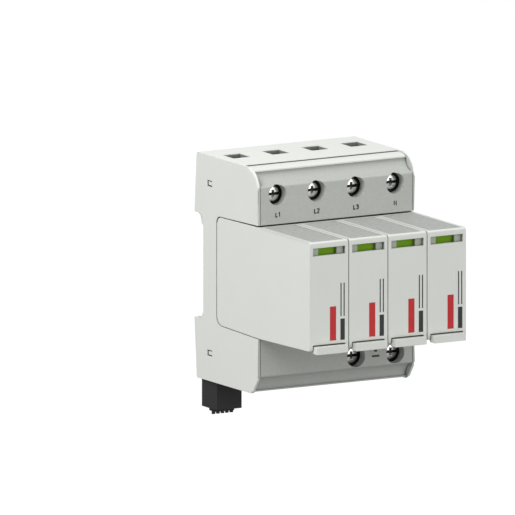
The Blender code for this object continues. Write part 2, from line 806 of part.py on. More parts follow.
def clip_web(x, way, end):
    """Web behind a clip's leaves, from the clip's far side to a height beyond it."""
    return web(x - clip_half(), x + clip_half(), way * (BLADE_HEIGHT - BLADE_WIDTH / 2), way * end)


def strip_end():
    return SHELF_TOP + FIT_GAP + BAR_THICKNESS


def make_line_contact(name, copper, x):
    """From one line terminal to the upper clip of its module."""
    clip = x - BLADE_OFFSET
    contact = solid(name, [terminal_strip(x, 1)], copper)
    fuse(contact, "web", [clip_web(clip, 1, strip_end() - 0.1)])
    fuse(contact, "leaves", clip_leaves(clip, 1))
    return contact


def make_neutral_busbar(copper):
    """Joins the lower clips of the line modules to the neutral terminal and the last module's upper clip."""
    x = POLE_CENTRES[-1]
    upper_clip = x - BLADE_OFFSET
    lower_clips = [centre + BLADE_OFFSET for centre in POLE_CENTRES[:-1]]
    busbar = solid("neutral_busbar", [terminal_strip(x, 1)], copper)
    fuse(busbar, "web", [clip_web(upper_clip, 1, strip_end() - 0.1)])
    fuse(busbar, "upper_leaves", clip_leaves(upper_clip, 1))
    riser_right = upper_clip - clip_half() - FIT_GAP
    riser_left = riser_right - RISER_WIDTH
    bus_top = -BLADE_HEIGHT - BLADE_WIDTH / 2 + 0.5
    bus_low = bus_top - BUS_HEIGHT
    crossing = BLADE_HEIGHT + BLADE_WIDTH / 2
    fuse(busbar, "riser", [web(riser_left, riser_right, bus_low + 0.5, crossing + BUS_HEIGHT)])
    fuse(busbar, "crossing", [web(riser_left + 0.5, upper_clip, crossing, crossing + BUS_HEIGHT - 0.5)])
    bus_left = lower_clips[0] - clip_half() - 0.4
    fuse(busbar, "bus", [web(bus_left, riser_right - 0.5, bus_low, bus_top)])
    fuse(busbar, "lower_webs", [clip_web(clip, -1, -bus_top + 1.0) for clip in lower_clips])
    leaves = [leaf for clip in lower_clips for leaf in clip_leaves(clip, -1)]
    fuse(busbar, "lower_leaves", leaves)
    return busbar


def make_earth_busbar(copper):
    """Joins both earth terminals to the last module's lower clip."""
    clip = POLE_CENTRES[-1] + BLADE_OFFSET
    strips = [terminal_strip(x, -1) for x in EARTH_CENTRES]
    bus_end = strip_end() - 0.1
    left = EARTH_CENTRES[0] - BAR_WIDTH / 2 + 0.5
    bus = web(left, clip + clip_half() - 0.2, BUS_HEIGHT - bus_end, -bus_end)
    busbar = solid("earth_busbar", [bus], copper)
    fuse(busbar, "strips", strips)
    fuse(busbar, "web", [clip_web(clip, -1, bus_end - BUS_HEIGHT + 1.0)])
    fuse(busbar, "leaves", clip_leaves(clip, -1))
    return busbar


# Rail latches and their springs
def make_latch(name, plastic, x):
    """Sprung foot: its bevelled top hooks behind the rail, and its tail has a slot for a screwdriver."""
    bottom = -LATCH_BOTTOM
    rear = LATCH_FRONT + LATCH_THICKNESS
    outline = [
        (LATCH_FRONT, bottom),
        (rear, bottom),
        (rear, -LATCH_TOP - LATCH_THICKNESS),
        (LATCH_FRONT + LATCH_THICKNESS / 2, -LATCH_TOP),
        (LATCH_FRONT, -LATCH_TOP),
    ]
    half = LATCH_WIDTH / 2
    latch = solid(name, [("X", outline, x - half, x + half)], plastic, (x, LATCH_FRONT, bottom))
    slot = LATCH_SLOT_WIDTH / 2
    pull = PULL_SLOT_WIDTH / 2
    pull_low = bottom + 0.9
    openings = [
        box(x - slot, x + slot, 0, 2 * rear, -LATCH_SLOT_BOTTOM, -LATCH_SLOT_TOP),
        box(x - pull, x + pull, 0, 2 * rear, pull_low, pull_low + PULL_SLOT_HEIGHT),
    ]
    cut(latch, "slots", openings)
    return latch


def make_latch_spring(name, steel, x):
    """Compression spring between the cover's peg and the top of the latch's slot."""
    low = peg_bottom() + PEG_HEIGHT + FIT_GAP + SPRING_WIRE / 2
    high = -LATCH_SLOT_TOP - FIT_GAP - SPRING_WIRE / 2
    y = LATCH_FRONT + LATCH_THICKNESS / 2
    radius = (SPRING_DIAMETER - SPRING_WIRE) / 2
    per_turn = 8
    sides = 5
    mesh = bmesh.new()
    rings = []
    steps = SPRING_TURNS * per_turn
    for step in range(steps + 1):
        turn = 2 * math.pi * step / per_turn
        z = low + (high - low) * step / steps
        ring = []
        for side in range(sides):
            angle = 2 * math.pi * side / sides
            out = radius + SPRING_WIRE / 2 * math.cos(angle)
            up = SPRING_WIRE / 2 * math.sin(angle)
            ring.append(mesh.verts.new((x + out * math.cos(turn), y + out * math.sin(turn), z + up)))
        rings.append(ring)
    mesh.faces.new(rings[0])
    mesh.faces.new(reversed(rings[-1]))
    for first, second in zip(rings, rings[1:]):
        for side in range(sides):
            after = (side + 1) % sides
            mesh.faces.new((first[after], first[side], second[side], second[after]))
    spring = finish(name, mesh, steel)
    smooth(spring, 60)
    return spring


# Plug-in modules
def module_top(depth):
    """Height of a module's top face at a depth: level in front of the bay, then falling towards its rear."""
    rear = bay_height(-MODULE_REAR) - FIT_GAP
    share = (depth + MODULE_REAR) / (SHOULDER_DEPTH + MODULE_REAR)
    return rear + (MODULE_TOP - rear) * min(1, share)


def module_bottom(depth):
    mouth = BAY_MOUTH - FIT_GAP
    if depth > SHOULDER_DEPTH:
        share = (depth - SHOULDER_DEPTH) / (MODULE_DEPTH - SHOULDER_DEPTH)
        return -mouth + (mouth - MODULE_BOTTOM) * share
    return FIT_GAP - bay_height(depth)


def module_outline():
    """Side view (y, z) of a module case."""
    rear = -MODULE_REAR
    corners = [
        (-MODULE_DEPTH, module_top(MODULE_DEPTH), MODULE_CORNER),
        (-MODULE_DEPTH, module_bottom(MODULE_DEPTH), MODULE_CORNER),
        (-SHOULDER_DEPTH, module_bottom(SHOULDER_DEPTH), 0),
        (-rear, module_bottom(rear), BAY_RADIUS_BOTTOM - FIT_GAP),
        (-rear, module_top(rear), BAY_RADIUS_TOP - FIT_GAP),
        (-SHOULDER_DEPTH, module_top(SHOULDER_DEPTH), 0),
    ]
    return rounded(corners)


def cavity_outline():
    """Side view (y, z) of the room inside a module case, narrower where the base plate closes it."""
    wall = MODULE_WALL
    front = MODULE_DEPTH - wall
    rim = -MODULE_REAR + MODULE_RIM
    rim_top, rim_bottom = rim_heights()
    return [
        (-front, module_bottom(front) + wall),
        (-SHOULDER_DEPTH, module_bottom(SHOULDER_DEPTH) + wall),
        (-rim, module_bottom(rim) + wall),
        (-rim, rim_bottom),
        (0, rim_bottom),
        (0, rim_top),
        (-rim, rim_top),
        (-rim, module_top(rim) - wall),
        (-SHOULDER_DEPTH, module_top(SHOULDER_DEPTH) - wall),
        (-front, module_top(front) - wall),
    ]


def rim_heights():
    """Upper and lower edge of the opening that a module's base plate closes."""
    rear = -MODULE_REAR
    return module_top(rear) - BAY_RADIUS_TOP, module_bottom(rear) + BAY_RADIUS_BOTTOM


def make_module_case(name, plastic, x):
    mesh = bmesh.new()
    add_prism(mesh, ("X", module_outline(), x - MODULE_HALF, x + MODULE_HALF))
    sides = [edge for edge in mesh.edges if abs(edge.verts[0].co.x - edge.verts[1].co.x) < 0.001]
    bmesh.ops.bevel(mesh, geom=sides, offset=MODULE_EDGE, segments=2, profile=0.5, affect="EDGES")
    case = finish(name, mesh, plastic, (x, MODULE_REAR, 0))
    inner = MODULE_HALF - MODULE_WALL
    cut(case, "room", [("X", cavity_outline(), x - inner, x + inner)])

    front = -MODULE_DEPTH
    window_low = WINDOW_TOP - WINDOW_HEIGHT
    half = WINDOW_WIDTH / 2
    grip_half = GRIP_WIDTH / 2
    notch_half = grip_half + FIT_GAP
    notch_top = GRIP_SLOT - GRIP_TOP
    root_gap = MODULE_WALL + 0.5
    panel_front = MODULE_DEPTH - PANEL_START
    panel_rear = SHOULDER_DEPTH + PANEL_BORDER
    panel = [
        (-panel_front, module_top(panel_front) - PANEL_RECESS),
        (-panel_rear, module_top(panel_rear) - PANEL_RECESS),
        (-panel_rear, 2 * MODULE_TOP),
        (-panel_front, 2 * MODULE_TOP),
    ]
    panel_half = MODULE_HALF - PANEL_BORDER
    openings = [
        box(x - half, x + half, front - 1, front + root_gap, window_low, WINDOW_TOP),
        box(x - notch_half, x + notch_half, front - 1, front + root_gap, -2 * GRIP_TOP, notch_top),
        ("X", panel, x - panel_half, x + panel_half),
    ]
    cut(case, "front_openings", openings)

    inside_floor = module_bottom(MODULE_DEPTH) + MODULE_WALL / 2
    root = front + GRIP_ROOT
    neck = front + root_gap + 0.5
    underside = -GRIP_TOP - GRIP_HEIGHT
    grip = [
        (front - GRIP_REACH, underside),
        (front + 0.6, underside),
        (neck, inside_floor),
        (root, inside_floor),
        (root, -GRIP_TOP),
        (front - GRIP_REACH, -GRIP_TOP),
    ]
    fuse(case, "grip", [("X", grip, x - grip_half, x + grip_half)])
    return case


def make_module_base(name, plastic, x):
    """Plate that closes a module from behind, with a slot for each blade."""
    rim_top, rim_bottom = rim_heights()
    half = MODULE_HALF - MODULE_WALL - FIT_GAP
    low = rim_bottom + FIT_GAP
    high = rim_top - FIT_GAP
    plate = box(x - half, x + half, MODULE_REAR - BASE_PLATE, MODULE_REAR, low, high)
    base = solid(name, [plate], plastic, (x, MODULE_REAR, 0))
    slots = []
    for way in (1, -1):
        across = x - way * BLADE_OFFSET
        ends = (MODULE_REAR - BASE_PLATE - 1, MODULE_REAR + 1)
        slots.append(blade_slot(across, way * BLADE_HEIGHT, SEAM_GAP, *ends))
    cut(base, "blade_slots", slots)
    return base


def make_blade(name, copper, x, way):
    """Stamped sheet: the blade that plugs into the base, a wider shoe, a neck, and the pad on the core."""
    half = BLADE_WIDTH / 2
    shoe_front = MODULE_REAR - BASE_PLATE - FIT_GAP
    shoe_end = shoe_front - SHOE_LENGTH
    pad_rear = CORE_SIDE - CORE_FRONT - (CORE_SIDE - PAD_LENGTH) / 2
    pad_front = pad_rear - PAD_LENGTH
    pad_far = BLADE_HEIGHT + half
    neck = NECK_WIDTH / 2
    high = BLADE_HEIGHT + half
    low = BLADE_HEIGHT - half
    outline = [
        (BLADE_TIP, low + 0.6),
        (BLADE_TIP, high - 0.6),
        (BLADE_TIP - 0.8, high),
        (shoe_front, high),
        (shoe_front, high + SHOE_EXTRA),
        (shoe_end, high + SHOE_EXTRA),
        (shoe_end, BLADE_HEIGHT + neck),
        (pad_rear, BLADE_HEIGHT + neck),
        (pad_rear, pad_far - 1.0),
        (pad_rear - 1.0, pad_far),
        (pad_front, pad_far),
        (pad_front, pad_far - PAD_LENGTH),
        (pad_rear, pad_far - PAD_LENGTH),
        (pad_rear, BLADE_HEIGHT - neck),
        (shoe_end, BLADE_HEIGHT - neck),
        (shoe_end, low - SHOE_EXTRA),
        (shoe_front, low - SHOE_EXTRA),
        (shoe_front, low),
        (BLADE_TIP - 0.8, low),
    ]
    if way < 0:
        outline = mirrored(outline)
    across = x - way * BLADE_OFFSET
    reach = BLADE_THICKNESS / 2
    ends = (across - reach, across + reach)
    return solid(name, [("X", outline, *ends)], copper, (x, MODULE_REAR, 0))


def make_varistor(name, coating, x):
    """Square varistor block with rounded corners."""
    half = CORE_SIDE / 2
    rear = CORE_SIDE - CORE_FRONT
    corners = [(-CORE_FRONT, -half), (rear, -half), (rear, half), (-CORE_FRONT, half)]
    outline = rounded([(y, z, CORE_CORNER) for y, z in corners])
    reach = CORE_THICKNESS / 2
    return solid(name, [("X", outline, x - reach, x + reach)], coating, (x, MODULE_REAR, 0))


def make_spark_gap(name, ceramic, x):
    """Disc-shaped spark gap: two metal rims round a narrower ceramic ring."""
    reach = CORE_THICKNESS / 2
    rim = TUBE_DIAMETER / 2
    waist = rim - TUBE_RIM
    profile = [
        (x - reach, 0),
        (x - reach, rim),
        (x - reach + TUBE_RIM, rim),
        (x - reach + TUBE_RIM, waist),
        (x + reach - TUBE_RIM, waist),
        (x + reach - TUBE_RIM, rim),
        (x + reach, rim),
        (x + reach, 0),
    ]
    mesh = bmesh.new()
    add_turned(mesh, "X", profile, (CORE_SIDE / 2 - CORE_FRONT, 0), 28)
    tube = finish(name, mesh, ceramic, (x, MODULE_REAR, 0))
    smooth(tube)
    return tube


def insert_face():
    """Front face of the window insert, behind the module's front wall."""
    return -MODULE_DEPTH + MODULE_WALL + SEAM_GAP


def flag_front():
    return insert_face() + INSERT_FACE + FIT_GAP


def flag_top():
    """Upper edge of the green flag, a little below the room's ceiling."""
    return module_top(MODULE_DEPTH) - MODULE_WALL - 2 * FIT_GAP


def make_window_insert(name, plastic, x):
    """Grey guide behind the window: two front panels, cheeks and a back wall, with the flag between them."""
    half = MODULE_HALF - MODULE_WALL - FIT_GAP
    front = insert_face()
    channel = flag_front() - FIT_GAP
    channel_end = flag_front() + FLAG_THICKNESS + FIT_GAP
    back = channel_end + INSERT_BACK
    opening = INSERT_OPENING / 2
    inner = half - INSERT_CHEEK
    outline = [
        (x - half, front),
        (x - opening, front),
        (x - opening, channel),
        (x - inner, channel),
        (x - inner, channel_end),
        (x + inner, channel_end),
        (x + inner, channel),
        (x + opening, channel),
        (x + opening, front),
        (x + half, front),
        (x + half, back),
        (x - half, back),
    ]
    high = flag_top() + FIT_GAP / 2
    low = high - INSERT_LENGTH
    return solid(name, [("Z", outline, low, high)], plastic, (x, MODULE_REAR, 0))


def make_status_flag(name, green, x):
    """Green flag with a stem that reaches down and back to the core, whose heat releases it."""
    front = flag_front()
    rear = front + FLAG_THICKNESS
    high = flag_top()
    half = MODULE_HALF - MODULE_WALL - FIT_GAP - INSERT_CHEEK - FIT_GAP
    stem = FLAG_STEM / 2
    stem_low = high - FLAG_HEIGHT - FLAG_STEM_LENGTH
    plate = box(x - half, x + half, front, rear, high - FLAG_HEIGHT, high)
    flag = solid(name, [plate], green, (x, front, high))
    side = [
        (front, high - FLAG_HEIGHT + 1.0),
        (front, stem_low),
        (-CORE_FRONT - FIT_GAP, stem_low),
        (-CORE_FRONT - FIT_GAP, stem_low + FLAG_FOOT),
        (rear, stem_low + FLAG_FOOT),
        (rear, high - FLAG_HEIGHT + 1.0),
    ]
    fuse(flag, "stem", [("X", side, x - stem, x + stem)])
    return flag


# Remote signalling
def plug_centre():
    return -PLUG_LEFT + PLUG_WIDTH / 2


def pin_positions():
    first = plug_centre() - (CORE_POLES - 1) * CORE_PITCH / 2
    return [first + pole * CORE_PITCH for pole in range(CORE_POLES)]


def pin_depth():
    """Depth of the row of pins, in the middle of the plug."""
    return -PLUG_FRONT + PLUG_LENGTH / 2


def make_signal_header(plastic):
    """Fixed header in the base, with square pins that stand down into the plug."""
    low = -PLUG_TOP + FIT_GAP
    left = -PLUG_LEFT
    rear = -PLUG_FRONT + PLUG_LENGTH
    body = box(left, left + PLUG_WIDTH, -PLUG_FRONT, rear, low, low + HEADER_HEIGHT)
    header = solid("signal_header", [body], plastic)
    half = PIN_WIDTH / 2
    y = pin_depth()
    pins = [box(x - half, x + half, y - half, y + half, low - PIN_LENGTH, low + 1) for x in pin_positions()]
    fuse(header, "pins", pins)
    return header


def make_signal_plug(plastic):
    """Pluggable terminal block: a plain black body with three wire entries and a fingered collar below."""
    left = -PLUG_LEFT
    rear = -PLUG_FRONT + PLUG_LENGTH
    body = box(left, left + PLUG_WIDTH, -PLUG_FRONT, rear, -PLUG_BOTTOM, -PLUG_TOP)
    plug = solid("signal_plug", [body], plastic, (plug_centre(), pin_depth(), -PLUG_TOP))
    collar_left = plug_centre() - COLLAR_WIDTH / 2
    collar_right = collar_left + COLLAR_WIDTH
    collar_rear = COLLAR_LENGTH - COLLAR_FRONT
    pitch = (COLLAR_WIDTH + FIT_GAP) / COLLAR_FINGERS
    width = pitch * 0.6
    crest = -PLUG_BOTTOM - COLLAR_HEIGHT
    valley = crest + COLLAR_HEIGHT / 3
    inside = -PLUG_BOTTOM + 0.5
    comb = [(collar_left, inside)]
    for finger in range(COLLAR_FINGERS):
        start = collar_left + finger * pitch
        comb += [(start, crest), (start + width, crest), (start + width, valley), (start + pitch, valley)]
    comb = comb[:-1] + [(collar_right, valley), (collar_right, inside)]
    fuse(plug, "comb", [("Y", comb, -COLLAR_FRONT, FINGER_DEPTH - COLLAR_FRONT)])
    ends = (collar_left + FIT_GAP, collar_right - FIT_GAP)
    fuse(plug, "collar", [box(*ends, FIT_GAP - COLLAR_FRONT, collar_rear, valley + FIT_GAP, inside)])
    entry_depth = (collar_rear + rear) / 2
    entries = []
    for x in pin_positions():
        entry = circle(x, entry_depth, WIRE_HOLE / 2, 16)
        entries.append(("Z", entry, -PLUG_BOTTOM - 1, -PLUG_BOTTOM + WIRE_HOLE_DEPTH))
    cut(plug, "wire_entries", entries)
    half = PIN_SOCKET / 2
    y = pin_depth()
    low = -PLUG_TOP - PIN_LENGTH - 1.5
    sockets = [box(x - half, x + half, y - half, y + half, low, 1 - PLUG_TOP) for x in pin_positions()]
    cut(plug, "sockets", sockets)
    return plug


def make_signal_board(laminate):
    """Upright circuit board between the header and the switch."""
    left = board_left()
    low = -PLUG_TOP + HEADER_HEIGHT + 2 * FIT_GAP
    front = FLOOR_REAR + FIT_GAP
    panel = box(left, left + BOARD_THICKNESS, front, CONTACT_FRONT, low, BOARD_TOP)
    return solid("signal_board", [panel], laminate)


def board_left():
    return -INNER_HALF + 2 * FIT_GAP + ARM_THICKNESS + 0.1


def make_signal_switch(plastic):
    """Small switch on the board, with its button towards the slider."""
    left = board_left() + BOARD_THICKNESS + FIT_GAP
    right = left + SWITCH_WIDTH
    half = SWITCH_HEIGHT / 2
    front = FLOOR_REAR + 2 * FIT_GAP
    switch = solid("signal_switch", [box(left, right, front, CONTACT_FRONT, -half, half)], plastic)
    button = SLIDER_THICKNESS / 2
    middle = FLOOR_REAR + FIT_GAP + button
    tip = right + BUTTON_REACH
    fuse(switch, "button", [box(right - 1, tip, middle - button / 2, middle + button / 2, -button, button)])
    return switch


def make_signal_slider(plastic):
    """Bar behind the bay's floor, with a tooth at each module that pushes it towards the switch."""
    left = board_left() + BOARD_THICKNESS + FIT_GAP + SWITCH_WIDTH + BUTTON_REACH + SLIDER_TRAVEL + FIT_GAP
    right = POLE_CENTRES[-1] + TOOTH_OFFSET + TOOTH_WIDTH / 2 + FIT_GAP
    front = FLOOR_REAR + FIT_GAP
    half = SLIDER_HEIGHT / 2 - FIT_GAP
    bar = box(left, right, front, front + SLIDER_THICKNESS, -SLIDER_HEIGHT / 2, SLIDER_HEIGHT / 2)
    slider = solid("signal_slider", [bar], plastic, (left, front, 0))
    teeth = []
    for x in POLE_CENTRES:
        tooth = x + TOOTH_OFFSET
        ends = (tooth - TOOTH_WIDTH / 2, tooth + TOOTH_WIDTH / 2)
        teeth.append(box(*ends, -BAY_FLOOR_DEPTH + SEAM_GAP, front + 0.5, -half, half))
    fuse(slider, "teeth", teeth)
    return slider


# The whole device
def build():
    for old in list(bpy.data.objects):
        bpy.data.objects.remove(old)
    housing_grey = material("housing_grey", (0.72, 0.74, 0.71), 0.5)
    cover_grey = material("cover_grey", (0.45, 0.47, 0.45), 0.65)
    module_grey = material("module_grey", (0.66, 0.68, 0.66), 0.45)
    window_grey = material("window_grey", (0.38, 0.38, 0.38), 0.4)
    latch_grey = material("latch_grey", (0.3, 0.31, 0.32), 0.5)
    flag_green = material("flag_green", (0.12, 0.28, 0.02), 0.45)
    plug_black = material("plug_black", (0.02, 0.02, 0.02), 0.5)
    zinc_steel = material("zinc_steel", (0.75, 0.76, 0.78), 0.25, 1.0)
    spring_steel = material("spring_steel", (0.55, 0.55, 0.57), 0.3, 1.0)
    tinned_copper = material("tinned_copper", (0.7, 0.62, 0.52), 0.35, 1.0)
    varistor_blue = material("varistor_blue", (0.05, 0.1, 0.3), 0.5)
    tube_ceramic = material("tube_ceramic", (0.75, 0.74, 0.7), 0.4)
    board_green = material("board_green", (0.02, 0.12, 0.05), 0.5)

    make_base_housing(housing_grey)
    make_rear_cover(housing_grey)
    make_terminal_cover("upper_terminal_cover", cover_grey, POLE_CENTRES, TERMINAL_HEIGHT, False)
    make_terminal_cover("lower_terminal_cover", cover_grey, EARTH_CENTRES, -EARTH_HEIGHT, True)

    line_names = [f"line_{number}" for number in range(1, POLES)] + ["neutral"]
    for name, x in zip(line_names, POLE_CENTRES):
        make_screw(f"{name}_screw", zinc_steel, x, TERMINAL_HEIGHT)
        make_cage(f"{name}_cage", zinc_steel, x, TERMINAL_HEIGHT)
    for number, x in enumerate(EARTH_CENTRES, 1):
        make_screw(f"earth_{number}_screw", zinc_steel, x, -EARTH_HEIGHT)
        make_cage(f"earth_{number}_cage", zinc_steel, x, -EARTH_HEIGHT)
    for number, x in enumerate(POLE_CENTRES[:-1], 1):
        make_line_contact(f"line_{number}_contact", tinned_copper, x)
    make_neutral_busbar(tinned_copper)
    make_earth_busbar(tinned_copper)

    for side, x in zip(("left", "right"), LATCH_CENTRES):
        make_latch(f"{side}_rail_latch", latch_grey, x)
        make_latch_spring(f"{side}_latch_spring", spring_steel, x)

    make_signal_header(plug_black)
    make_signal_plug(plug_black)
    make_signal_board(board_green)
    make_signal_switch(plug_black)
    make_signal_slider(latch_grey)

    for number, x in enumerate(POLE_CENTRES, 1):
        name = f"module_{number}"
        make_module_case(f"{name}_case", module_grey, x)
        make_module_base(f"{name}_base", module_grey, x)
        make_window_insert(f"{name}_window_insert", window_grey, x)
        make_status_flag(f"{name}_status_flag", flag_green, x)
        make_blade(f"{name}_upper_blade", tinned_copper, x, 1)
        make_blade(f"{name}_lower_blade", tinned_copper, x, -1)
        if number < POLES:
            make_varistor(f"{name}_varistor", varistor_blue, x)
        else:
            make_spark_gap(f"{name}_spark_gap", tube_ceramic, x)


build()
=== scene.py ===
"""Looks of a pluggable surge arrester for a DIN rail, piece by piece in the order of assembly."""

import math

import bmesh
import bpy
import numpy as np
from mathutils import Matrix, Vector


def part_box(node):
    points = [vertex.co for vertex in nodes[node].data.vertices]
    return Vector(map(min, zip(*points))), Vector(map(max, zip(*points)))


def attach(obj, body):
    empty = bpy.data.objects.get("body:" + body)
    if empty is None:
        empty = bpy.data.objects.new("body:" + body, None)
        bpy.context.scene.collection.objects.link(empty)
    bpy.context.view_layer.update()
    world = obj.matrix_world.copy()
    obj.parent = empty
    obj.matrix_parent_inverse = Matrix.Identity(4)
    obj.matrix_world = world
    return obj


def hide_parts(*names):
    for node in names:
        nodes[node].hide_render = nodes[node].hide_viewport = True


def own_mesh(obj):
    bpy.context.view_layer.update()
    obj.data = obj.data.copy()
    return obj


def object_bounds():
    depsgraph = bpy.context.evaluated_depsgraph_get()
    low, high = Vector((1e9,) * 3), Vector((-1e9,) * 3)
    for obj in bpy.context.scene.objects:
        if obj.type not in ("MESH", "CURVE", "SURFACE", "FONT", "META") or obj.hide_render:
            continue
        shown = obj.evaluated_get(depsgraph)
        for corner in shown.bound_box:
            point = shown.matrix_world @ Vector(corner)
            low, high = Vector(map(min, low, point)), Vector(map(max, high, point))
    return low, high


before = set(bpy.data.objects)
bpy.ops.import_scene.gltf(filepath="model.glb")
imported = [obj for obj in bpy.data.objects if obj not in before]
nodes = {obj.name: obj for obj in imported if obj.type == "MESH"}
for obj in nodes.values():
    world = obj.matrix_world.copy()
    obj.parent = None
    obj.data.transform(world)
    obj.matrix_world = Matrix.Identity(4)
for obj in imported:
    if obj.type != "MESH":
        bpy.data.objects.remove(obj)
solid_box = [list(corner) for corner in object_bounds()]


# Base housing and rear cover
# The C-shaped base is one moulding of light grey, glass-filled plastic with a satin, fine-grained skin. The front
# edges of its side walls are spark-eroded in the mould to a coarse, matt stipple, like the covers, and so are the
# walls' inner faces at the coves, whose darker stipple tone there is partly painted shade.
# A flat cover of the same plastic snaps into it from behind and carries the hook that hangs on the rail.


def new_effect(name, takes, gives):
    """An empty node group with the named inputs (name, kind, value) and outputs (name, kind)."""
    group = bpy.data.node_groups.new(name, "ShaderNodeTree")
    for label, kind, value in takes:
        socket = group.interface.new_socket(label, in_out="INPUT", socket_type=kind)
        socket.default_value = value
    for label, kind in gives:
        group.interface.new_socket(label, in_out="OUTPUT", socket_type=kind)
    return group, group.nodes.new("NodeGroupInput"), group.nodes.new("NodeGroupOutput")


def add_node(tree, kind, settings=(), **values):
    """A node with its settings, and with the inputs named by values set to a constant or linked to a socket."""
    node = tree.nodes.new(kind)
    for setting, value in dict(settings).items():
        setattr(node, setting, value)
    for label, value in values.items():
        by_number = label[0] == "i" and label[1:].isdigit()
        socket = node.inputs[int(label[1:])] if by_number else node.inputs[label]
        if isinstance(value, bpy.types.NodeSocket):
            tree.links.new(value, socket)
        else:
            socket.default_value = value
    return node


def moulded_skin():
    """Skin of an injection moulding: a fine grain, a slow drift of tone as the melt flowed, and a matt mottle.

    Height and tone are noise at the size of one grain. Colour is the plain colour times one plus the grain's and
    the drift's share, and roughness is the plain roughness plus the grain's share.
    """
    group, given, made = new_effect(
        "moulded_skin",
        [
            ("Colour", "NodeSocketColor", (0.8, 0.8, 0.8, 1)),
            ("Roughness", "NodeSocketFloat", 0.5),
            ("Grains per metre", "NodeSocketFloat", 2500.0),
            ("Grain tone", "NodeSocketFloat", 0.05),
            ("Drift tone", "NodeSocketFloat", 0.03),
        ],
        [("Colour", "NodeSocketColor"), ("Roughness", "NodeSocketFloat"), ("Height", "NodeSocketFloat")],
    )
    place = add_node(group, "ShaderNodeTexCoord").outputs["Object"]
    grain = add_node(
        group, "ShaderNodeTexNoise", Vector=place, Scale=given.outputs["Grains per metre"], Detail=2.0
    )
    drift = add_node(group, "ShaderNodeTexNoise", Vector=place, Scale=60.0, Detail=2.0)
    by_grain = add_node(
        group, "ShaderNodeMapRange", Value=grain.outputs["Fac"], i1=0.25, i2=0.75, i3=-1.0, i4=1.0
    ).outputs["Result"]
    by_drift = add_node(
        group, "ShaderNodeMapRange", Value=drift.outputs["Fac"], i1=0.25, i2=0.75, i3=-1.0, i4=1.0
    ).outputs["Result"]
    share = add_node(
        group, "ShaderNodeMath", {"operation": "MULTIPLY"}, i0=by_grain, i1=given.outputs["Grain tone"]
    ).outputs[0]
    share = add_node(
        group, "ShaderNodeMath", {"operation": "MULTIPLY_ADD"},
        i0=by_drift, i1=given.outputs["Drift tone"], i2=share,
    ).outputs[0]
    tone = add_node(group, "ShaderNodeMath", {"operation": "ADD"}, i0=share, i1=1.0).outputs[0]
    colour = add_node(
        group, "ShaderNodeVectorMath", {"operation": "SCALE"}, Vector=given.outputs["Colour"], Scale=tone
    ).outputs[0]
    roughness = add_node(
        group, "ShaderNodeMath", {"operation": "MULTIPLY_ADD"},
        i0=by_grain, i1=0.04, i2=given.outputs["Roughness"],
    ).outputs[0]
    group.links.new(colour, made.inputs["Colour"])
    group.links.new(roughness, made.inputs["Roughness"])
    group.links.new(grain.outputs["Fac"], made.inputs["Height"])
    return group


MOULDED_SKIN = moulded_skin()


def gap_shade():
    """Painted shade in narrow gaps: the colour falls towards the darkest share where near faces close in.

    Openness is the share of free directions within the reach. It is stretched so that open faces keep their tone.
    """
    group, given, made = new_effect(
        "gap_shade",
        [
            ("Colour", "NodeSocketColor", (0.8, 0.8, 0.8, 1)),
            ("Reach", "NodeSocketFloat", 0.005),
            ("Darkest", "NodeSocketFloat", 0.15),
        ],
        [("Colour", "NodeSocketColor")],
    )
    near = add_node(group, "ShaderNodeAmbientOcclusion", {"samples": 6}, Distance=given.outputs["Reach"])
    share = add_node(
        group, "ShaderNodeMapRange", Value=near.outputs["AO"],
        i1=0.1, i2=0.8, i3=given.outputs["Darkest"], i4=1.0,
    ).outputs["Result"]
    colour = add_node(
        group, "ShaderNodeVectorMath", {"operation": "SCALE"}, Vector=given.outputs["Colour"], Scale=share
    ).outputs[0]
    group.links.new(colour, made.inputs["Colour"])
    return group


GAP_SHADE = gap_shade()


def linear(red, green, blue):
    """The linear colour of an 8-bit screen colour."""
    share = np.array([red, green, blue]) / 255
    bent = np.where(share > 0.04045, ((share + 0.055) / 1.055) ** 2.4, share / 12.92)
    return (*bent.tolist(), 1.0)


def new_material(name, **values):
    """A material and its shader, with the shader's plain values set."""
    material = bpy.data.materials.new(name)
    material.use_nodes = True
    shader = material.node_tree.nodes["Principled BSDF"]
    for label, value in values.items():
        shader.inputs[label.replace("_", " ")].default_value = value
    return material, shader


def round_edges(material, shader, height, relief, radius=0.0002):
    """Bump from a height that changes over the surface, on normals that turn softly round each sharp edge."""
    tree = material.node_tree
    edge = add_node(tree, "ShaderNodeBevel", {"samples": 4}, Radius=radius)
    bump = add_node(
        tree, "ShaderNodeBump", Strength=1.0, Distance=relief, Height=height, Normal=edge.outputs["Normal"]
    )
    tree.links.new(bump.outputs["Normal"], shader.inputs["Normal"])


def shaded_colour(tree, colour, shader, darkest=0.15, reach=0.002):
    """Links a colour to the shader by way of the painted shade in gaps."""
    shade = add_node(tree, "ShaderNodeGroup", {"node_tree": GAP_SHADE, "label": "gap shade"})
    shade.inputs["Darkest"].default_value = darkest
    shade.inputs["Reach"].default_value = reach
    tree.links.new(colour, shade.inputs["Colour"])
    tree.links.new(shade.outputs["Colour"], shader.inputs["Base Color"])


def plastic(name, colour, roughness, grains, grain_tone, drift_tone, relief, darkest=0.15, **values):
    """A moulded plastic: its skin feeds the shader's colour, roughness and bump."""
    material, shader = new_material(name, **values)
    tree = material.node_tree
    skin = add_node(tree, "ShaderNodeGroup", {"node_tree": MOULDED_SKIN, "label": "skin"})
    skin.inputs["Colour"].default_value = linear(*colour)
    skin.inputs["Roughness"].default_value = roughness
    skin.inputs["Grains per metre"].default_value = grains
    skin.inputs["Grain tone"].default_value = grain_tone
    skin.inputs["Drift tone"].default_value = drift_tone
    shaded_colour(tree, skin.outputs["Colour"], shader, darkest)
    tree.links.new(skin.outputs["Roughness"], shader.inputs["Roughness"])
    round_edges(material, shader, skin.outputs["Height"], relief)
    return material


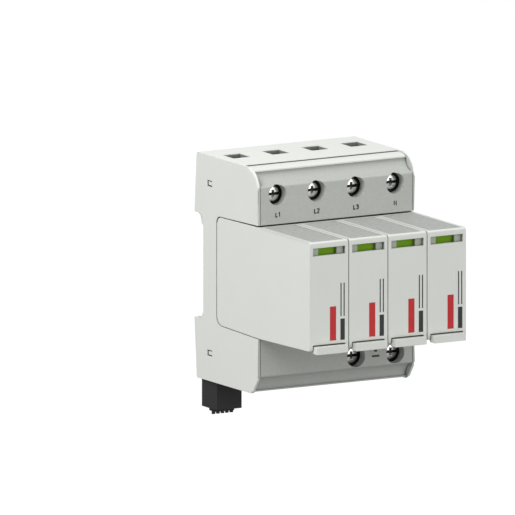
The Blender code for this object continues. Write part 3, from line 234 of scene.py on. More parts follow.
def smooth_faces():
    """Geometry nodes that weld loose triangles and shade them smooth, but for edges sharper than 40 degrees."""
    group = bpy.data.node_groups.new("smooth_faces", "GeometryNodeTree")
    group.interface.new_socket("Geometry", in_out="INPUT", socket_type="NodeSocketGeometry")
    group.interface.new_socket("Geometry", in_out="OUTPUT", socket_type="NodeSocketGeometry")
    given = group.nodes.new("NodeGroupInput")
    made = group.nodes.new("NodeGroupOutput")
    weld = add_node(group, "GeometryNodeMergeByDistance", Geometry=given.outputs[0], Distance=1e-6)
    plain = add_node(group, "GeometryNodeRemoveAttribute", Geometry=weld.outputs[0], Name="custom_normal")
    faces = add_node(group, "GeometryNodeSetShadeSmooth", {"domain": "FACE"}, Geometry=plain.outputs[0])
    angle = add_node(group, "GeometryNodeInputMeshEdgeAngle")
    sharp = add_node(
        group, "FunctionNodeCompare", {"data_type": "FLOAT", "operation": "GREATER_THAN"},
        i0=angle.outputs["Unsigned Angle"], i1=math.radians(40),
    )
    edges = add_node(
        group, "GeometryNodeSetShadeSmooth", {"domain": "EDGE"}, Geometry=faces.outputs[0],
        Selection=sharp.outputs[0],
    )
    edges.inputs["Shade Smooth"].default_value = False
    group.links.new(edges.outputs[0], made.inputs[0])
    return group


SMOOTH_FACES = smooth_faces()


def dress(material, *names, rounded=False):
    """Gives nodes a material, and shades the rounded ones smooth over their arcs."""
    for name in names:
        piece = nodes[name]
        piece.data.materials.clear()
        piece.data.materials.append(material)
        if rounded:
            piece.modifiers.new("smooth_faces", "NODES").node_group = SMOOTH_FACES
            weighted = piece.modifiers.new("weighted_normals", "WEIGHTED_NORMAL")
            weighted.keep_sharp = True


def spark_stipple():
    """Stipple of a spark-eroded mould: small round pits on a faint, coarser unevenness.

    Height is the distance to the nearest pit's centre plus a third of a noise twice as coarse. The tone falls in
    the pits, a painted shade of the small hollows.
    """
    group, given, made = new_effect(
        "spark_stipple",
        [
            ("Colour", "NodeSocketColor", (0.5, 0.5, 0.5, 1)),
            ("Pits per metre", "NodeSocketFloat", 2200.0),
            ("Pit tone", "NodeSocketFloat", 0.2),
            ("Scatter", "NodeSocketFloat", 1.0),
        ],
        [("Colour", "NodeSocketColor"), ("Height", "NodeSocketFloat")],
    )
    place = add_node(group, "ShaderNodeTexCoord").outputs["Object"]
    pits = add_node(
        group, "ShaderNodeTexVoronoi", Vector=place, Scale=given.outputs["Pits per metre"],
        Randomness=given.outputs["Scatter"],
    )
    coarse = add_node(
        group, "ShaderNodeMath", {"operation": "MULTIPLY"}, i0=given.outputs["Pits per metre"], i1=0.5
    ).outputs[0]
    uneven = add_node(group, "ShaderNodeTexNoise", Vector=place, Scale=coarse, Detail=3.0)
    height = add_node(
        group, "ShaderNodeMath", {"operation": "MULTIPLY_ADD"},
        i0=uneven.outputs["Fac"], i1=0.33, i2=pits.outputs["Distance"],
    ).outputs[0]
    dark = add_node(
        group, "ShaderNodeMapRange", Value=height, i1=0.2, i2=0.9, i3=-1.0, i4=1.0
    ).outputs["Result"]
    tone = add_node(
        group, "ShaderNodeMath", {"operation": "MULTIPLY_ADD"}, i0=dark, i1=given.outputs["Pit tone"], i2=1.0
    ).outputs[0]
    colour = add_node(
        group, "ShaderNodeVectorMath", {"operation": "SCALE"}, Vector=given.outputs["Colour"], Scale=tone
    ).outputs[0]
    group.links.new(colour, made.inputs["Colour"])
    group.links.new(height, made.inputs["Height"])
    return group


SPARK_STIPPLE = spark_stipple()


def within(tree, value, low, high):
    """1 where a coordinate lies between two limits, 0 elsewhere."""
    return add_node(
        tree, "ShaderNodeMath", {"operation": "COMPARE"}, i0=value, i1=(low + high) / 2, i2=(high - low) / 2
    ).outputs[0]


def both(tree, first, second):
    """The product of two masks or shares."""
    return add_node(tree, "ShaderNodeMath", {"operation": "MULTIPLY"}, i0=first, i1=second).outputs[0]


def magnitude(tree, value):
    """A coordinate's distance from the middle."""
    return add_node(tree, "ShaderNodeMath", {"operation": "ABSOLUTE"}, i0=value).outputs[0]


def two_finish_plastic(
    name, colour, stippled_colour, pit_tone, where, painted_shade=None, reach=0.002, darkest=0.15, pits_per_metre=2300.0,
    scatter=1.0,
):
    """A light moulding with a satin skin, but stippled and darker where the mask made by where is 1.

    Painted shade gives the share of the colour that is left inside deep holes, and 1 elsewhere. Scatter is 0 for
    pits on a square grid and 1 for pits at random.
    """
    material, shader = new_material(name, Specular_IOR_Level=0.4)
    tree = material.node_tree
    skin = add_node(tree, "ShaderNodeGroup", {"node_tree": MOULDED_SKIN, "label": "satin skin"})
    skin.inputs["Colour"].default_value = linear(*colour)
    skin.inputs["Roughness"].default_value = 0.45
    skin.inputs["Grains per metre"].default_value = 2600.0
    skin.inputs["Grain tone"].default_value = 0.01
    skin.inputs["Drift tone"].default_value = 0.01
    pits = add_node(tree, "ShaderNodeGroup", {"node_tree": SPARK_STIPPLE, "label": "stipple"})
    pits.inputs["Colour"].default_value = linear(*stippled_colour)
    pits.inputs["Pits per metre"].default_value = pits_per_metre
    pits.inputs["Scatter"].default_value = scatter
    pits.inputs["Pit tone"].default_value = pit_tone
    place = add_node(tree, "ShaderNodeTexCoord").outputs["Object"]
    axes = add_node(tree, "ShaderNodeSeparateXYZ", Vector=place).outputs
    mask = where(tree, axes)
    mixed = add_node(tree, "ShaderNodeMix", {"data_type": "RGBA"}, Factor=mask)
    tree.links.new(skin.outputs["Colour"], mixed.inputs[6])
    tree.links.new(pits.outputs["Colour"], mixed.inputs[7])
    colour = mixed.outputs[2]
    if painted_shade:
        colour = add_node(
            tree, "ShaderNodeVectorMath", {"operation": "SCALE"}, Vector=colour, Scale=painted_shade(tree, axes)
        ).outputs[0]
    shaded_colour(tree, colour, shader, darkest, reach)
    rough = add_node(
        tree, "ShaderNodeMath", {"operation": "MULTIPLY_ADD"}, i0=mask, i1=0.2, i2=skin.outputs["Roughness"]
    ).outputs[0]
    tree.links.new(rough, shader.inputs["Roughness"])
    round_edges(material, shader, both(tree, pits.outputs["Height"], mask), 0.00003)
    return material


SHOULDER_LOW = 0.0224
SHOULDER_HIGH = 0.0386
COVE_TOP = 0.046
BEYOND = -0.1
WALL_FRONT = -0.0427
WALL_INNER = (0.0335, 0.03475)
COVER_FRONT = -0.0372


def cheek_fronts(tree, place):
    """Front edges of the side walls beside the covers' fronts, and the walls' inner faces at the coves (partly
    painted shade).
    """
    height = magnitude(tree, place["Z"])
    beside_cover = within(tree, height, SHOULDER_LOW, SHOULDER_HIGH)
    fronts = both(tree, within(tree, place["Y"], BEYOND, WALL_FRONT), beside_cover)
    inner = within(tree, magnitude(tree, place["X"]), *WALL_INNER)
    at_cove = both(
        tree, within(tree, place["Y"], BEYOND, COVER_FRONT), within(tree, height, SHOULDER_HIGH, COVE_TOP)
    )
    return add_node(
        tree, "ShaderNodeMath", {"operation": "MAXIMUM"}, i0=fronts, i1=both(tree, inner, at_cove)
    ).outputs[0]


def left_share(tree, mask, share):
    """1 where a mask is 0, and the share where it is 1."""
    return add_node(
        tree, "ShaderNodeMath", {"operation": "MULTIPLY_ADD"}, i0=mask, i1=share - 1.0, i2=1.0
    ).outputs[0]


def block(tree, place, across, along, height):
    """1 inside a box that is given by its limits along Y and, on both sides of the middle, along X and Z."""
    inside = both(
        tree, within(tree, magnitude(tree, place["X"]), *across),
        within(tree, magnitude(tree, place["Z"]), *height),
    )
    return both(tree, inside, within(tree, place["Y"], *along))


# A hollow is a box, by its limits across, along Y and in height, and the share of light left in it, painted as
# shade.
BETWEEN_WALLS = (-1.0, 0.034)
WIRE_ENTRIES = (BETWEEN_WALLS, (-0.0157, -0.0062), (0.03, 0.0447)), 0.3
SCREW_BORES = (BETWEEN_WALLS, (-0.0391, -0.034), (0.0245, 0.0385)), 0.06
TAB_GAPS = ((0.033, 0.0352), (-0.00705, -0.00315), (0.0326, 0.0351)), 0.1
LIP_GROOVE = ((-1.0, 0.0345), (-0.0322, -0.031), (0.0405, 0.04495)), 0.3


def light_in(tree, place, hollow):
    """The share of light left inside a hollow as painted shade, and 1 outside it."""
    limits, share = hollow
    return left_share(tree, block(tree, place, *limits), share)


def housing_painted_shade(tree, place):
    """Painted shade: light left in the wire openings, behind the screw heads, round the side tabs and in the
    lip's groove.
    """
    entries, bores, tabs, groove = (
        light_in(tree, place, hollow) for hollow in (WIRE_ENTRIES, SCREW_BORES, TAB_GAPS, LIP_GROOVE)
    )
    return both(tree, both(tree, entries, bores), both(tree, tabs, groove))


PALE_GREY = (228, 231, 225)
STIPPLED_GREY = (185, 188, 183)
# The wire openings, screw bores, tab gaps and lip groove are darkened as painted shade.
housing_plastic = two_finish_plastic(
    "housing_plastic", PALE_GREY, STIPPLED_GREY, 0.07, cheek_fronts, housing_painted_shade, darkest=0.35
)
dress(housing_plastic, "base_housing", "rear_cover", rounded=True)


# Terminal covers
# Each shoulder of the base is closed by a separate moulding of darker grey, with a coved lip and a round hole
# for each screw. Its front is spark-eroded in the mould to a coarse, matt stipple.


UPPER_LIP = 0.0432


def cover_front(tree, place):
    """All in front of the groove and below the upper lip: the cove, the flat front and the lower lip."""
    below_lip = within(tree, place["Z"], BEYOND, UPPER_LIP)
    return both(tree, within(tree, place["Y"], BEYOND, COVER_FRONT), below_lip)


def cover_painted_shade(tree, place):
    """Painted shade: light left at the bottom of the screw bores."""
    return light_in(tree, place, SCREW_BORES)


cover_plastic = two_finish_plastic(
    "cover_plastic", PALE_GREY, STIPPLED_GREY, 0.07, cover_front, cover_painted_shade, darkest=0.6
)
dress(cover_plastic, "upper_terminal_cover", "lower_terminal_cover", rounded=True)


# Clamping cages
# Each terminal has a cage of bright zinc-plated steel that the screw draws forward, so that its rear wall pulls
# the wire against the contact bar. It is bent from strip, with the thread cut in its front wall.


def drawn_metal():
    """Skin of plated metal: fine lines along one axis and cloudy plating.

    The lines are noise squeezed along the other two axes. Roughness is the plain one plus the lines' and the
    clouds' share, colour is the plain one times one minus the clouds' share, and height is the lines.
    """
    group, given, made = new_effect(
        "drawn_metal",
        [
            ("Colour", "NodeSocketColor", (0.7, 0.7, 0.7, 1)),
            ("Roughness", "NodeSocketFloat", 0.25),
            ("Line stretch", "NodeSocketVector", (1.0, 1.0, 0.1)),
            ("Line depth", "NodeSocketFloat", 0.08),
            ("Cloud depth", "NodeSocketFloat", 0.1),
        ],
        [("Colour", "NodeSocketColor"), ("Roughness", "NodeSocketFloat"), ("Height", "NodeSocketFloat")],
    )
    place = add_node(group, "ShaderNodeTexCoord").outputs["Object"]
    squeezed = add_node(
        group, "ShaderNodeVectorMath", {"operation": "MULTIPLY"}, i0=place, i1=given.outputs["Line stretch"]
    ).outputs[0]
    lines = add_node(group, "ShaderNodeTexNoise", Vector=squeezed, Scale=9000.0, Detail=2.0)
    clouds = add_node(group, "ShaderNodeTexNoise", Vector=place, Scale=700.0, Detail=3.0)
    by_lines = add_node(
        group, "ShaderNodeMapRange", Value=lines.outputs["Fac"], i1=0.3, i2=0.7, i3=-1.0, i4=1.0
    ).outputs["Result"]
    by_clouds = add_node(
        group, "ShaderNodeMapRange", Value=clouds.outputs["Fac"], i1=0.3, i2=0.7, i3=0.0, i4=1.0
    ).outputs["Result"]
    rough = add_node(
        group, "ShaderNodeMath", {"operation": "MULTIPLY_ADD"},
        i0=by_lines, i1=given.outputs["Line depth"], i2=given.outputs["Roughness"],
    ).outputs[0]
    rough = add_node(
        group, "ShaderNodeMath", {"operation": "MULTIPLY_ADD"},
        i0=by_clouds, i1=given.outputs["Cloud depth"], i2=rough,
    ).outputs[0]
    loss = add_node(
        group, "ShaderNodeMath", {"operation": "MULTIPLY"}, i0=by_clouds, i1=given.outputs["Cloud depth"]
    ).outputs[0]
    tone = add_node(group, "ShaderNodeMath", {"operation": "SUBTRACT"}, i0=1.0, i1=loss).outputs[0]
    colour = add_node(
        group, "ShaderNodeVectorMath", {"operation": "SCALE"}, Vector=given.outputs["Colour"], Scale=tone
    ).outputs[0]
    group.links.new(colour, made.inputs["Colour"])
    group.links.new(rough, made.inputs["Roughness"])
    group.links.new(lines.outputs["Fac"], made.inputs["Height"])
    return group


DRAWN_METAL = drawn_metal()


def metal(name, colour, roughness, stretch, lines, clouds, relief=0.000004, painted_shade=None, darkest=0.1):
    """A metal whose lines run along the axis with the small stretch. Its painted shade mask is as for the
    plastics.
    """
    material, shader = new_material(name, Metallic=1.0)
    tree = material.node_tree
    skin = add_node(tree, "ShaderNodeGroup", {"node_tree": DRAWN_METAL, "label": "skin"})
    skin.inputs["Colour"].default_value = linear(*colour)
    skin.inputs["Roughness"].default_value = roughness
    skin.inputs["Line stretch"].default_value = stretch
    skin.inputs["Line depth"].default_value = lines
    skin.inputs["Cloud depth"].default_value = clouds
    colour = skin.outputs["Colour"]
    if painted_shade:
        place = add_node(tree, "ShaderNodeTexCoord").outputs["Object"]
        axes = add_node(tree, "ShaderNodeSeparateXYZ", Vector=place).outputs
        colour = add_node(
            tree, "ShaderNodeVectorMath", {"operation": "SCALE"}, Vector=colour, Scale=painted_shade(tree, axes)
        ).outputs[0]
    shaded_colour(tree, colour, shader, darkest)
    tree.links.new(skin.outputs["Roughness"], shader.inputs["Roughness"])
    round_edges(material, shader, skin.outputs["Height"], relief, 0.0001)
    return material


TERMINALS = ["line_1", "line_2", "line_3", "neutral", "earth_1", "earth_2"]
cage_steel = metal("cage_steel", (205, 207, 212), 0.28, (1.0, 1.0, 0.08), 0.06, 0.12)
dress(cage_steel, *[f"{terminal}_cage" for terminal in TERMINALS])


# Contacts and busbars
# Bars and clips are punched from copper strip, bent and tinned. They run behind the bay's floor, where the two
# leaves of each clip take a module's blade between them.

tinned_copper = metal("tinned_copper", (196, 186, 170), 0.36, (1.0, 0.08, 1.0), 0.05, 0.15)
dress(tinned_copper, *[f"line_{number}_contact" for number in (1, 2, 3)], "neutral_busbar", "earth_busbar")


# Rail latches
# Two grey moulded feet slide in the rear cover. Their bevelled tops hook behind the rail's lower edge, and a
# screwdriver in the slot of the tail draws them down.

latch_plastic = plastic("latch_plastic", (118, 121, 124), 0.5, 2200.0, 0.03, 0.02, 0.00002)
dress(latch_plastic, "left_rail_latch", "right_rail_latch")

spring_steel = metal("spring_steel", (176, 178, 182), 0.3, (0.3, 0.3, 1.0), 0.08, 0.1)


def grid_faces(rows, columns, closed):
    """Quads of a grid of points. Closed joins each row's last point to its first."""
    row, column = np.meshgrid(np.arange(rows - 1), np.arange(columns if closed else columns - 1), indexing="ij")
    after = (column + 1) % columns
    quads = [
        row * columns + column, row * columns + after,
        (row + 1) * columns + after, (row + 1) * columns + column,
    ]
    return np.stack(quads, axis=-1).reshape(-1, 4)


def new_piece(name, points, faces, material, body):
    """An object at the origin from arrays of points and faces. Doubles are welded, and faces turned outwards."""
    mesh = bpy.data.meshes.new(name)
    mesh.from_pydata(points.tolist(), [], faces.tolist())
    shape = bmesh.new()
    shape.from_mesh(mesh)
    bmesh.ops.remove_doubles(shape, verts=shape.verts, dist=1e-7)
    bmesh.ops.recalc_face_normals(shape, faces=shape.faces)
    shape.to_mesh(mesh)
    shape.free()
    mesh.shade_smooth()
    mesh.set_sharp_from_angle(angle=math.radians(35))
    mesh.materials.append(material)
    piece = bpy.data.objects.new(name, mesh)
    bpy.context.scene.collection.objects.link(piece)
    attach(piece, body)
    return piece


SPRING_WIRE = 0.00044
SPRING_TURNS = 7
FLAT_TURNS = 0.7


def coil(low, high):
    """Points of a round wire along a helix, with both ends wound flat and closed by a pole.

    The centre line is (r cos t, r sin t, z(t)), where z stands still over the flat turns and rises evenly
    between. The wire is a circle round it, in the plane of the axis and the radius, that shrinks to a point at
    both ends.
    """
    turns = np.concatenate([[0.0], np.linspace(0, SPRING_TURNS, 32 * SPRING_TURNS), [SPRING_TURNS]])
    thick = np.concatenate([[0.0], np.ones(32 * SPRING_TURNS), [0.0]]) * SPRING_WIRE / 2
    share = np.clip((turns - FLAT_TURNS) / (SPRING_TURNS - 2 * FLAT_TURNS), 0, 1)
    centre = (low + high) / 2
    radius = (high[0] - low[0] - SPRING_WIRE) / 2
    height = low[2] + SPRING_WIRE / 2 + share * (high[2] - low[2] - SPRING_WIRE)
    around = np.linspace(0, 2 * math.pi, 10, endpoint=False)
    out = radius + thick[:, None] * np.cos(around)
    rise = height[:, None] + thick[:, None] * np.sin(around)
    angle = 2 * math.pi * turns[:, None]
    points = [centre[0] + out * np.cos(angle), centre[1] + out * np.sin(angle), rise]
    return np.stack(points, axis=-1).reshape(-1, 3), grid_faces(len(turns), 10, True)


for side in ("left", "right"):
    low, high = (np.array(corner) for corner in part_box(f"{side}_latch_spring"))
    spring = new_piece(f"{side}_spring_coil", *coil(low, high), spring_steel, "base")
    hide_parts(f"{side}_latch_spring")
    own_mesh(spring)


# Remote signal
# A slider behind the bay's floor pushes a small switch on an upright circuit board, whose contacts come out in
# a black header with three pins and a black plug that pulls off downwards.

plug_plastic = plastic("plug_plastic", (36, 36, 36), 0.5, 2400.0, 0.04, 0.02, 0.00002, Specular_IOR_Level=0.3)
dress(plug_plastic, "signal_header", "signal_plug", "signal_switch")
dress(latch_plastic, "signal_slider")
board_laminate = plastic("board_laminate", (28, 92, 52), 0.35, 3200.0, 0.06, 0.05, 0.00001)
dress(board_laminate, "signal_board")


# Modules
# Four plug-in cases of the housing's plastic, moulded with a smooth skin, a stippled panel on top, a window for
# the status flag and a lip below to pull them by. A base plate closes each from behind.

MODULES = [f"module_{number}" for number in (1, 2, 3, 4)]
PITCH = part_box("module_2_case")[0].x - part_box("module_1_case")[0].x

PANEL_GREY = (168, 171, 167)
PANEL_ALONG = (-0.0824, -0.0446)
PANEL_LEVEL = (0.0213, 0.03)
DOTS_PER_METRE = 1000.0
PANEL_BORDER = 0.00175
BORDER_TONE = 0.34


def top_panel(tree, place):
    """The recessed panel on top of each case.

    Its place repeats with the pitch, which starts at the device's middle.
    """
    share = add_node(tree, "ShaderNodeMath", {"operation": "DIVIDE"}, i0=place["X"], i1=PITCH).outputs[0]
    share = add_node(tree, "ShaderNodeMath", {"operation": "FRACT"}, i0=share).outputs[0]
    across = within(tree, share, PANEL_BORDER / PITCH, 1 - PANEL_BORDER / PITCH)
    along = within(tree, place["Y"], *PANEL_ALONG)
    weight = add_node(
        tree, "ShaderNodeMath", {"operation": "MULTIPLY_ADD"}, i0=across, i1=1 - BORDER_TONE, i2=BORDER_TONE
    ).outputs[0]
    return both(tree, both(tree, weight, along), within(tree, place["Z"], *PANEL_LEVEL))


module_plastic = two_finish_plastic(
    "module_plastic", PALE_GREY, PANEL_GREY, 0.5, top_panel,
    reach=0.004, pits_per_metre=DOTS_PER_METRE, scatter=0.1,
)
dress(module_plastic, *[f"{module}_case" for module in MODULES], rounded=True)
dress(module_plastic, *[f"{module}_base" for module in MODULES])
dress(tinned_copper, *[f"{module}_{way}_blade" for module in MODULES for way in ("upper", "lower")])

# The insert's grey, darker than the case's plastic, is partly painted shade of the recess it sits in.
window_plastic = plastic("window_plastic", (182, 188, 174), 0.4, 2600.0, 0.01, 0.01, 0.00001, 0.5)
dress(window_plastic, *[f"{module}_window_insert" for module in MODULES])
flag_plastic = plastic(
    "flag_plastic", (120, 170, 8), 0.42, 2600.0, 0.02, 0.03, 0.00001, 0.3, Specular_IOR_Level=0.2
)
dress(flag_plastic, *[f"{module}_status_flag" for module in MODULES])
varistor_coating = plastic("varistor_coating", (34, 66, 138), 0.3, 900.0, 0.12, 0.08, 0.00008)
dress(varistor_coating, *[f"{module}_varistor" for module in MODULES[:3]])
tube_ceramic = plastic("tube_ceramic", (226, 222, 212), 0.3, 1500.0, 0.02, 0.03, 0.00001)
dress(tube_ceramic, "module_4_spark_gap")


# Terminal screws
# Each terminal has a zinc-plated steel screw whose domed head takes a flat or a crossed driver. The slot is sawn
# right across the head, the cross is struck into it, and the shank has a rolled thread.

HEAD_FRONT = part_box("line_1_screw")[0].y


def slot_and_rim_shade(tree, place):
    """The slot's bottom and the head's rim, darkened as painted shade."""
    return left_share(tree, within(tree, place["Y"], HEAD_FRONT + 0.00105, HEAD_FRONT + 0.0026), 0.04)


# The slot's bottom and the head's rim are darkened as painted shade.
screw_steel = metal(
    "screw_steel", (236, 235, 232), 0.16, (1.0, 1.0, 1.0), 0.04, 0.1, 0.000004, slot_and_rim_shade, 0.5
)

HEAD_RADIUS = 0.00316
HEAD_FLAT = 0.0028
HEAD_HEIGHT = 0.0027
DOME = 0.00035
SLOT_HALF = 0.0005
SLOT_DEPTH = 0.0013
CROSS_REACH = 0.0016
CROSS_END = 0.00015
SHANK_RADIUS = 0.0025
THREAD_PITCH = 0.0008
THREAD_DEPTH = 0.00035
BLOCK_LINES = np.array([0, 0.25, 0.5, 0.56, 0.9, 1.3, 1.6, 1.66, 1.85]) / 1000


def drive_depth(a, b):
    """Depth of the drive at a point of the head: a slot along a, and a cross that slants up from its middle."""
    slot = np.where(np.abs(b) <= SLOT_HALF + 1e-6, SLOT_DEPTH, 0.0)
    fall = (SLOT_DEPTH - CROSS_END) / CROSS_REACH
    along_b = np.where((np.abs(a) <= SLOT_HALF + 1e-6) & (np.abs(b) <= CROSS_REACH + 1e-6), 1.0, 0.0)
    along_a = np.where((np.abs(b) <= SLOT_HALF + 1e-6) & (np.abs(a) <= CROSS_REACH + 1e-6), 1.0, 0.0)
    deep = np.maximum(along_b * (SLOT_DEPTH - fall * np.abs(b)), along_a * (SLOT_DEPTH - fall * np.abs(a)))
    return np.maximum(slot, deep)


def screw_head():
    """Points (a, b, depth) and faces of the head: a square block of grid lines, sheets out to a circle, the side.

    The block's lines stay straight through the drive. Round it, four sheets run from the block's edge to the
    circle: each point goes in a straight line to the circle's point with the same line number. The side follows
    as rings, and where the slot crosses the rim a ring's depth is the larger of its own and the slot's.
    """
    lines = np.concatenate([-BLOCK_LINES[:0:-1], BLOCK_LINES])
    edge = lines[-1]
    diagonal = HEAD_FLAT / math.sqrt(2)
    straight = BLOCK_LINES[3]
    stretched = straight + (np.abs(lines) - straight) * (diagonal - straight) / (edge - straight)
    outer = np.where(np.abs(lines) <= straight, lines, np.sign(lines) * stretched)
    sheets = [np.stack(np.meshgrid(lines, lines, indexing="ij"), axis=-1)]
    start = np.stack([np.full_like(lines, edge), lines], axis=-1)
    end = np.stack([np.sqrt(HEAD_FLAT**2 - outer**2), outer], axis=-1)
    share = np.linspace(0, 1, 5)[:, None, None]
    sheet = start + (end - start) * share
    for quarter in range(4):
        turn = quarter * math.pi / 2
        spin = np.array([[math.cos(turn), math.sin(turn)], [-math.sin(turn), math.cos(turn)]])
        sheets.append(sheet @ spin)
    points, faces = [], []
    for sheet in sheets:
        a, b = sheet[..., 0], sheet[..., 1]
        dome = DOME * (a**2 + b**2) / HEAD_RADIUS**2
        faces.append(grid_faces(*a.shape, False) + sum(len(part) for part in points))
        points.append(np.stack([a, b, np.maximum(dome, drive_depth(a, b))], axis=-1).reshape(-1, 3))
    rim = np.concatenate([(end @ np.array([[math.cos(t), math.sin(t)], [-math.sin(t), math.cos(t)]]))[:-1]
                          for t in (0, math.pi / 2, math.pi, 3 * math.pi / 2)])
    slot = drive_depth(rim[:, 0], rim[:, 1])
    ring_radius = np.array([2.8, 2.97, 3.09, 3.16, 3.16, 3.08, 2.2, 0.0]) / 1000
    ring_depth = np.array([0.275, 0.36, 0.5, 0.75, 2.6, 2.7, 2.7, 2.7]) / 1000
    scale = ring_radius[:, None] / HEAD_FLAT
    depth = np.maximum(ring_depth[:, None], slot[None, :] * (ring_radius[:, None] > 0.0026))
    depth[0] = np.maximum(DOME * HEAD_FLAT**2 / HEAD_RADIUS**2, slot)
    side = np.stack([rim[:, 0] * scale, rim[:, 1] * scale, depth], axis=-1)
    faces.append(grid_faces(*side.shape[:2], True) + sum(len(part) for part in points))
    points.append(side.reshape(-1, 3))
    return np.concatenate(points), np.concatenate(faces)


def threaded_shank(length):
    """Points and faces of the shank.

    Its radius falls and rises with the fraction of along / pitch - angle / turn.
    """
    rings = np.arange(0, length - 0.0008, THREAD_PITCH / 8)
    depth = np.concatenate([[0.0], rings, [length - 0.0008, length, length]]) + HEAD_HEIGHT - 0.0002
    around = np.linspace(0, 2 * math.pi, 20, endpoint=False)
    phase = (depth[:, None] / THREAD_PITCH - around / (2 * math.pi)) % 1
    radius = SHANK_RADIUS - THREAD_DEPTH * np.abs(2 * phase - 1)
    radius[-2] = SHANK_RADIUS - 0.0008
    radius[[0, -1]] = 0.0
    depth = np.repeat(depth[:, None], 20, axis=1)
    points = np.stack([radius * np.cos(around), radius * np.sin(around), depth], axis=-1).reshape(-1, 3)
    return points, grid_faces(len(depth), 20, True)


head_points, head_faces = screw_head()
for terminal in TERMINALS:
    low, high = (np.array(corner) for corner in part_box(f"{terminal}_screw"))
    shank_points, shank_faces = threaded_shank(high[1] - low[1] - HEAD_HEIGHT)
    shape = np.concatenate([head_points, shank_points])
    placed = np.stack([shape[:, 0], shape[:, 2], shape[:, 1]], axis=-1)
    placed += ((low[0] + high[0]) / 2, low[1], (low[2] + high[2]) / 2)
    faces = np.concatenate([head_faces, shank_faces + len(head_points)])
    screw = new_piece(f"{terminal}_drive_screw", placed, faces, screw_steel, f"{terminal}_screw")
    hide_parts(f"{terminal}_screw")


# Printed marks
# Terminal marks are pad-printed in dark grey on the covers, and each module has a plain red stripe and a two-part
# black stripe. The ink is a film a few hundredths of a millimetre thick.

ink_black = plastic("ink_black", (38, 38, 40), 0.55, 5200.0, 0.1, 0.06, 0.000005)
ink_red = plastic("ink_red", (196, 30, 36), 0.5, 5200.0, 0.05, 0.04, 0.000005)

INK_THICKNESS = 0.00003
MARK_HEIGHT = 0.00165
MARK_WIDTH = 0.0005
GLYPHS = {
    "L": [[(0, 1), (0, 0), (0.5, 0)]],
    "N": [[(0, 0), (0, 1), (0.58, 0), (0.58, 1)]],
    "1": [[(0.02, 0.76), (0.28, 1), (0.28, 0)]],
    "2": [[(0, 0.78), (0.08, 0.93), (0.27, 1), (0.47, 0.93), (0.54, 0.76), (0.47, 0.56), (0, 0), (0.56, 0)]],
    "3": [[(0, 0.86), (0.14, 0.98), (0.36, 0.99), (0.51, 0.86), (0.49, 0.66), (0.33, 0.55), (0.17, 0.55)],
          [(0.33, 0.55), (0.52, 0.43), (0.56, 0.2), (0.42, 0.03), (0.19, 0), (0, 0.12)]],
}


def ink_band(line, width):
    """Points and faces of a flat band along a line in the plane of a front, with mitred corners.

    At each point the band's edges lie half a width off, along the mean of the two neighbouring normals, divided
    by the cosine of half the turn there.
    """
    line = np.array(line, float)
    step = np.diff(line, axis=0)
    step /= np.linalg.norm(step, axis=1)[:, None]
    normal = np.stack([-step[:, 1], step[:, 0]], axis=-1)
    mean = np.concatenate([normal[:1], normal[:-1] + normal[1:], normal[-1:]])
    mean /= np.linalg.norm(mean, axis=1)[:, None]
    stretch = np.sum(mean * np.concatenate([normal[:1], normal]), axis=1)
    offset = mean * (width / 2 / np.maximum(stretch, 0.5))[:, None]
    ring = [line + offset, line - offset]
    corners = np.stack([ring[0], ring[1], ring[1], ring[0]], axis=1)
    depth = np.array([0, 0, 1, 1]) * INK_THICKNESS
    points = np.concatenate([corners[..., :1], np.broadcast_to(depth[None, :, None], (len(line), 4, 1)),
                             corners[..., 1:]], axis=-1).reshape(-1, 3)
    last = 4 * (len(line) - 1)
    ends = np.array([[0, 1, 2, 3], [last, last + 3, last + 2, last + 1]])
    return points, np.concatenate([grid_faces(len(line), 4, True), ends])


def print_marks(name, bands, front, material, body):
    """One piece of ink from bands (line, width), half sunk in the front's surface."""
    points, faces = [], []
    for line, width in bands:
        band_points, band_faces = ink_band(line, width)
        faces.append(band_faces + sum(len(part) for part in points))
        points.append(band_points)
    points = np.concatenate(points) + (0, front - INK_THICKNESS / 2, 0)
    return new_piece(name, points, np.concatenate(faces), material, body)


def text_bands(text, x, z):
    """Bands of a mark in plain capitals, centred on a point."""
    widths = [max(a for line in GLYPHS[letter] for a, b in line) for letter in text]
    start = -(sum(widths) + 0.25 * (len(text) - 1)) / 2
    bands = []
    for letter, width in zip(text, widths):
        for line in GLYPHS[letter]:
            placed = [(x + (start + a) * MARK_HEIGHT, z + (b - 0.5) * MARK_HEIGHT) for a, b in line]
            bands.append((placed, MARK_WIDTH))
        start += width + 0.25
    return bands


SHOULDER_FRONT = -0.043
MARK_LEVEL = 0.0264
for text, terminal in (("L1", "line_1"), ("L2", "line_2"), ("L3", "line_3"), ("N", "neutral")):
    low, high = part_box(f"{terminal}_screw")
    bands = text_bands(text, (low.x + high.x) / 2, MARK_LEVEL)
    print_marks(f"mark_{terminal}", bands, SHOULDER_FRONT, ink_black, "base")

between = (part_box("earth_1_screw")[0].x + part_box("earth_2_screw")[1].x) / 2
earth_bands = [([(between, -0.0285), (between, -0.0298)], MARK_WIDTH)]
for half, z in ((0.0017, -0.0298), (0.0012, -0.0308), (0.0007, -0.0318), (0.0017, -0.0339)):
    earth_bands.append(([(between - half, z), (between + half, z)], 1.6 * MARK_WIDTH))
print_marks("mark_earth", earth_bands, SHOULDER_FRONT, ink_black, "base")

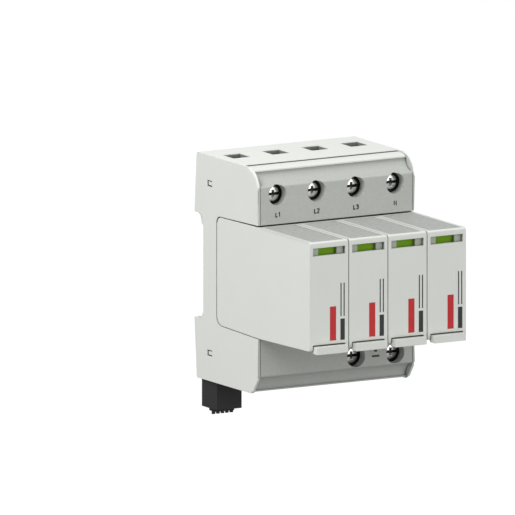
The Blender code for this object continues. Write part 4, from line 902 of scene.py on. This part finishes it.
# A stripe is upright: its distance from the case's middle, its lower and its upper end, and its width.
MODULE_FRONT = -0.0834
RED_STRIPES = [(0.00175, -0.0178, -0.0042, 0.0028)]
BLACK_STRIPES = [
    (0.0061, -0.0179, -0.0094, 0.0020), (0.0054, -0.0084, 0.0049, 0.0005), (0.0068, -0.0084, 0.0049, 0.0005)
]
for module in MODULES:
    low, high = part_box(f"{module}_case")
    middle = (low.x + high.x) / 2
    for colour, ink, stripes in (("red", ink_red, RED_STRIPES), ("black", ink_black, BLACK_STRIPES)):
        bands = [([(middle + x, foot), (middle + x, head)], width) for x, foot, head, width in stripes]
        print_marks(f"{module}_{colour}_stripe", bands, MODULE_FRONT, ink, module)


# Floor, light and camera
# A pale floor well below the device, a wide key lamp from the upper left, a wider and weaker fill lamp from the
# front, and a parallel view at the photograph's angle.

FLOOR_DROP = 0.06
FLOOR = solid_box[0][2] - FLOOR_DROP

floor_mesh = bpy.data.meshes.new("floor")
floor_mesh.from_pydata([(-9, -9, FLOOR), (9, -9, FLOOR), (9, 9, FLOOR), (-9, 9, FLOOR)], [], [(0, 1, 2, 3)])
floor = bpy.data.objects.new("floor", floor_mesh)
bpy.context.scene.collection.objects.link(floor)
pale, pale_shader = new_material("pale_floor", Roughness=0.9)
pale_shader.inputs["Base Color"].default_value = (0.34, 0.34, 0.34, 1)
floor_mesh.materials.append(pale)
tree = pale.node_tree
seen = add_node(tree, "ShaderNodeLightPath")
lit = add_node(tree, "ShaderNodeBsdfDiffuse", Color=(0.9, 0.9, 0.9, 1))
glow = add_node(tree, "ShaderNodeEmission", Color=(1, 1, 1, 1), Strength=1.18)
white = add_node(tree, "ShaderNodeMixShader", i0=0.75, i1=lit.outputs[0], i2=glow.outputs[0])
shown = add_node(
    tree, "ShaderNodeMixShader", i0=seen.outputs["Is Camera Ray"], i1=pale_shader.outputs[0], i2=white.outputs[0]
)
tree.links.new(shown.outputs[0], tree.nodes["Material Output"].inputs["Surface"])

world = bpy.data.worlds.new("studio")
bpy.context.scene.world = world
world.use_nodes = True
tree = world.node_tree
seen = add_node(tree, "ShaderNodeLightPath")
direct = add_node(
    tree, "ShaderNodeMath", {"operation": "MAXIMUM"},
    i0=seen.outputs["Is Camera Ray"], i1=seen.outputs["Is Glossy Ray"],
).outputs[0]
direct = add_node(
    tree, "ShaderNodeMath", {"operation": "MAXIMUM"}, i0=direct, i1=seen.outputs["Is Transmission Ray"]
).outputs[0]
strength = add_node(
    tree, "ShaderNodeMapRange", Value=direct, i1=0.0, i2=1.0, i3=0.44, i4=1.0
).outputs["Result"]
tree.nodes["Background"].inputs["Color"].default_value = (1, 1, 1, 1)
tree.links.new(strength, tree.nodes["Background"].inputs["Strength"])


def lamp(name, power, size, where):
    """A square soft box that faces the device."""
    data = bpy.data.lights.new(name, "AREA")
    data.energy = power
    data.size = size
    light = bpy.data.objects.new(name, data)
    back = np.array(where) / np.linalg.norm(where)
    light.location = where
    light.rotation_euler = (math.acos(back[2]), 0, math.atan2(back[1], back[0]) + math.pi / 2)
    bpy.context.scene.collection.objects.link(light)


lamp("key_lamp", 7.4, 0.5, (-0.66, -0.16, 0.73))
lamp("fill_lamp", 4.0, 0.9, (0.15, -1.0, 0.1))

CAMERA_DISTANCE = 10.0
VIEW_WIDTH = 0.20247
AIM_RIGHT = -0.009492
AIM_UP = 0.000408
turn, lift = math.radians(-30.07), math.radians(10.0)
right = np.array([math.cos(turn), math.sin(turn), 0.0])
back = np.array([math.sin(turn) * math.cos(lift), -math.cos(turn) * math.cos(lift), math.sin(lift)])
up = np.cross(back, right)
aim = AIM_RIGHT * right + AIM_UP * up
camera_data = bpy.data.cameras.new("camera")
camera_data.type = "ORTHO"
camera_data.ortho_scale = VIEW_WIDTH
camera_data.clip_start = 0.1
camera_data.clip_end = 100.0
camera = bpy.data.objects.new("camera", camera_data)
camera.location = aim + back * CAMERA_DISTANCE
camera.rotation_euler = (math.pi / 2 - lift, 0, turn)
bpy.context.scene.collection.objects.link(camera)
bpy.context.scene.camera = camera
bpy.context.scene.view_settings.view_transform = "Standard"
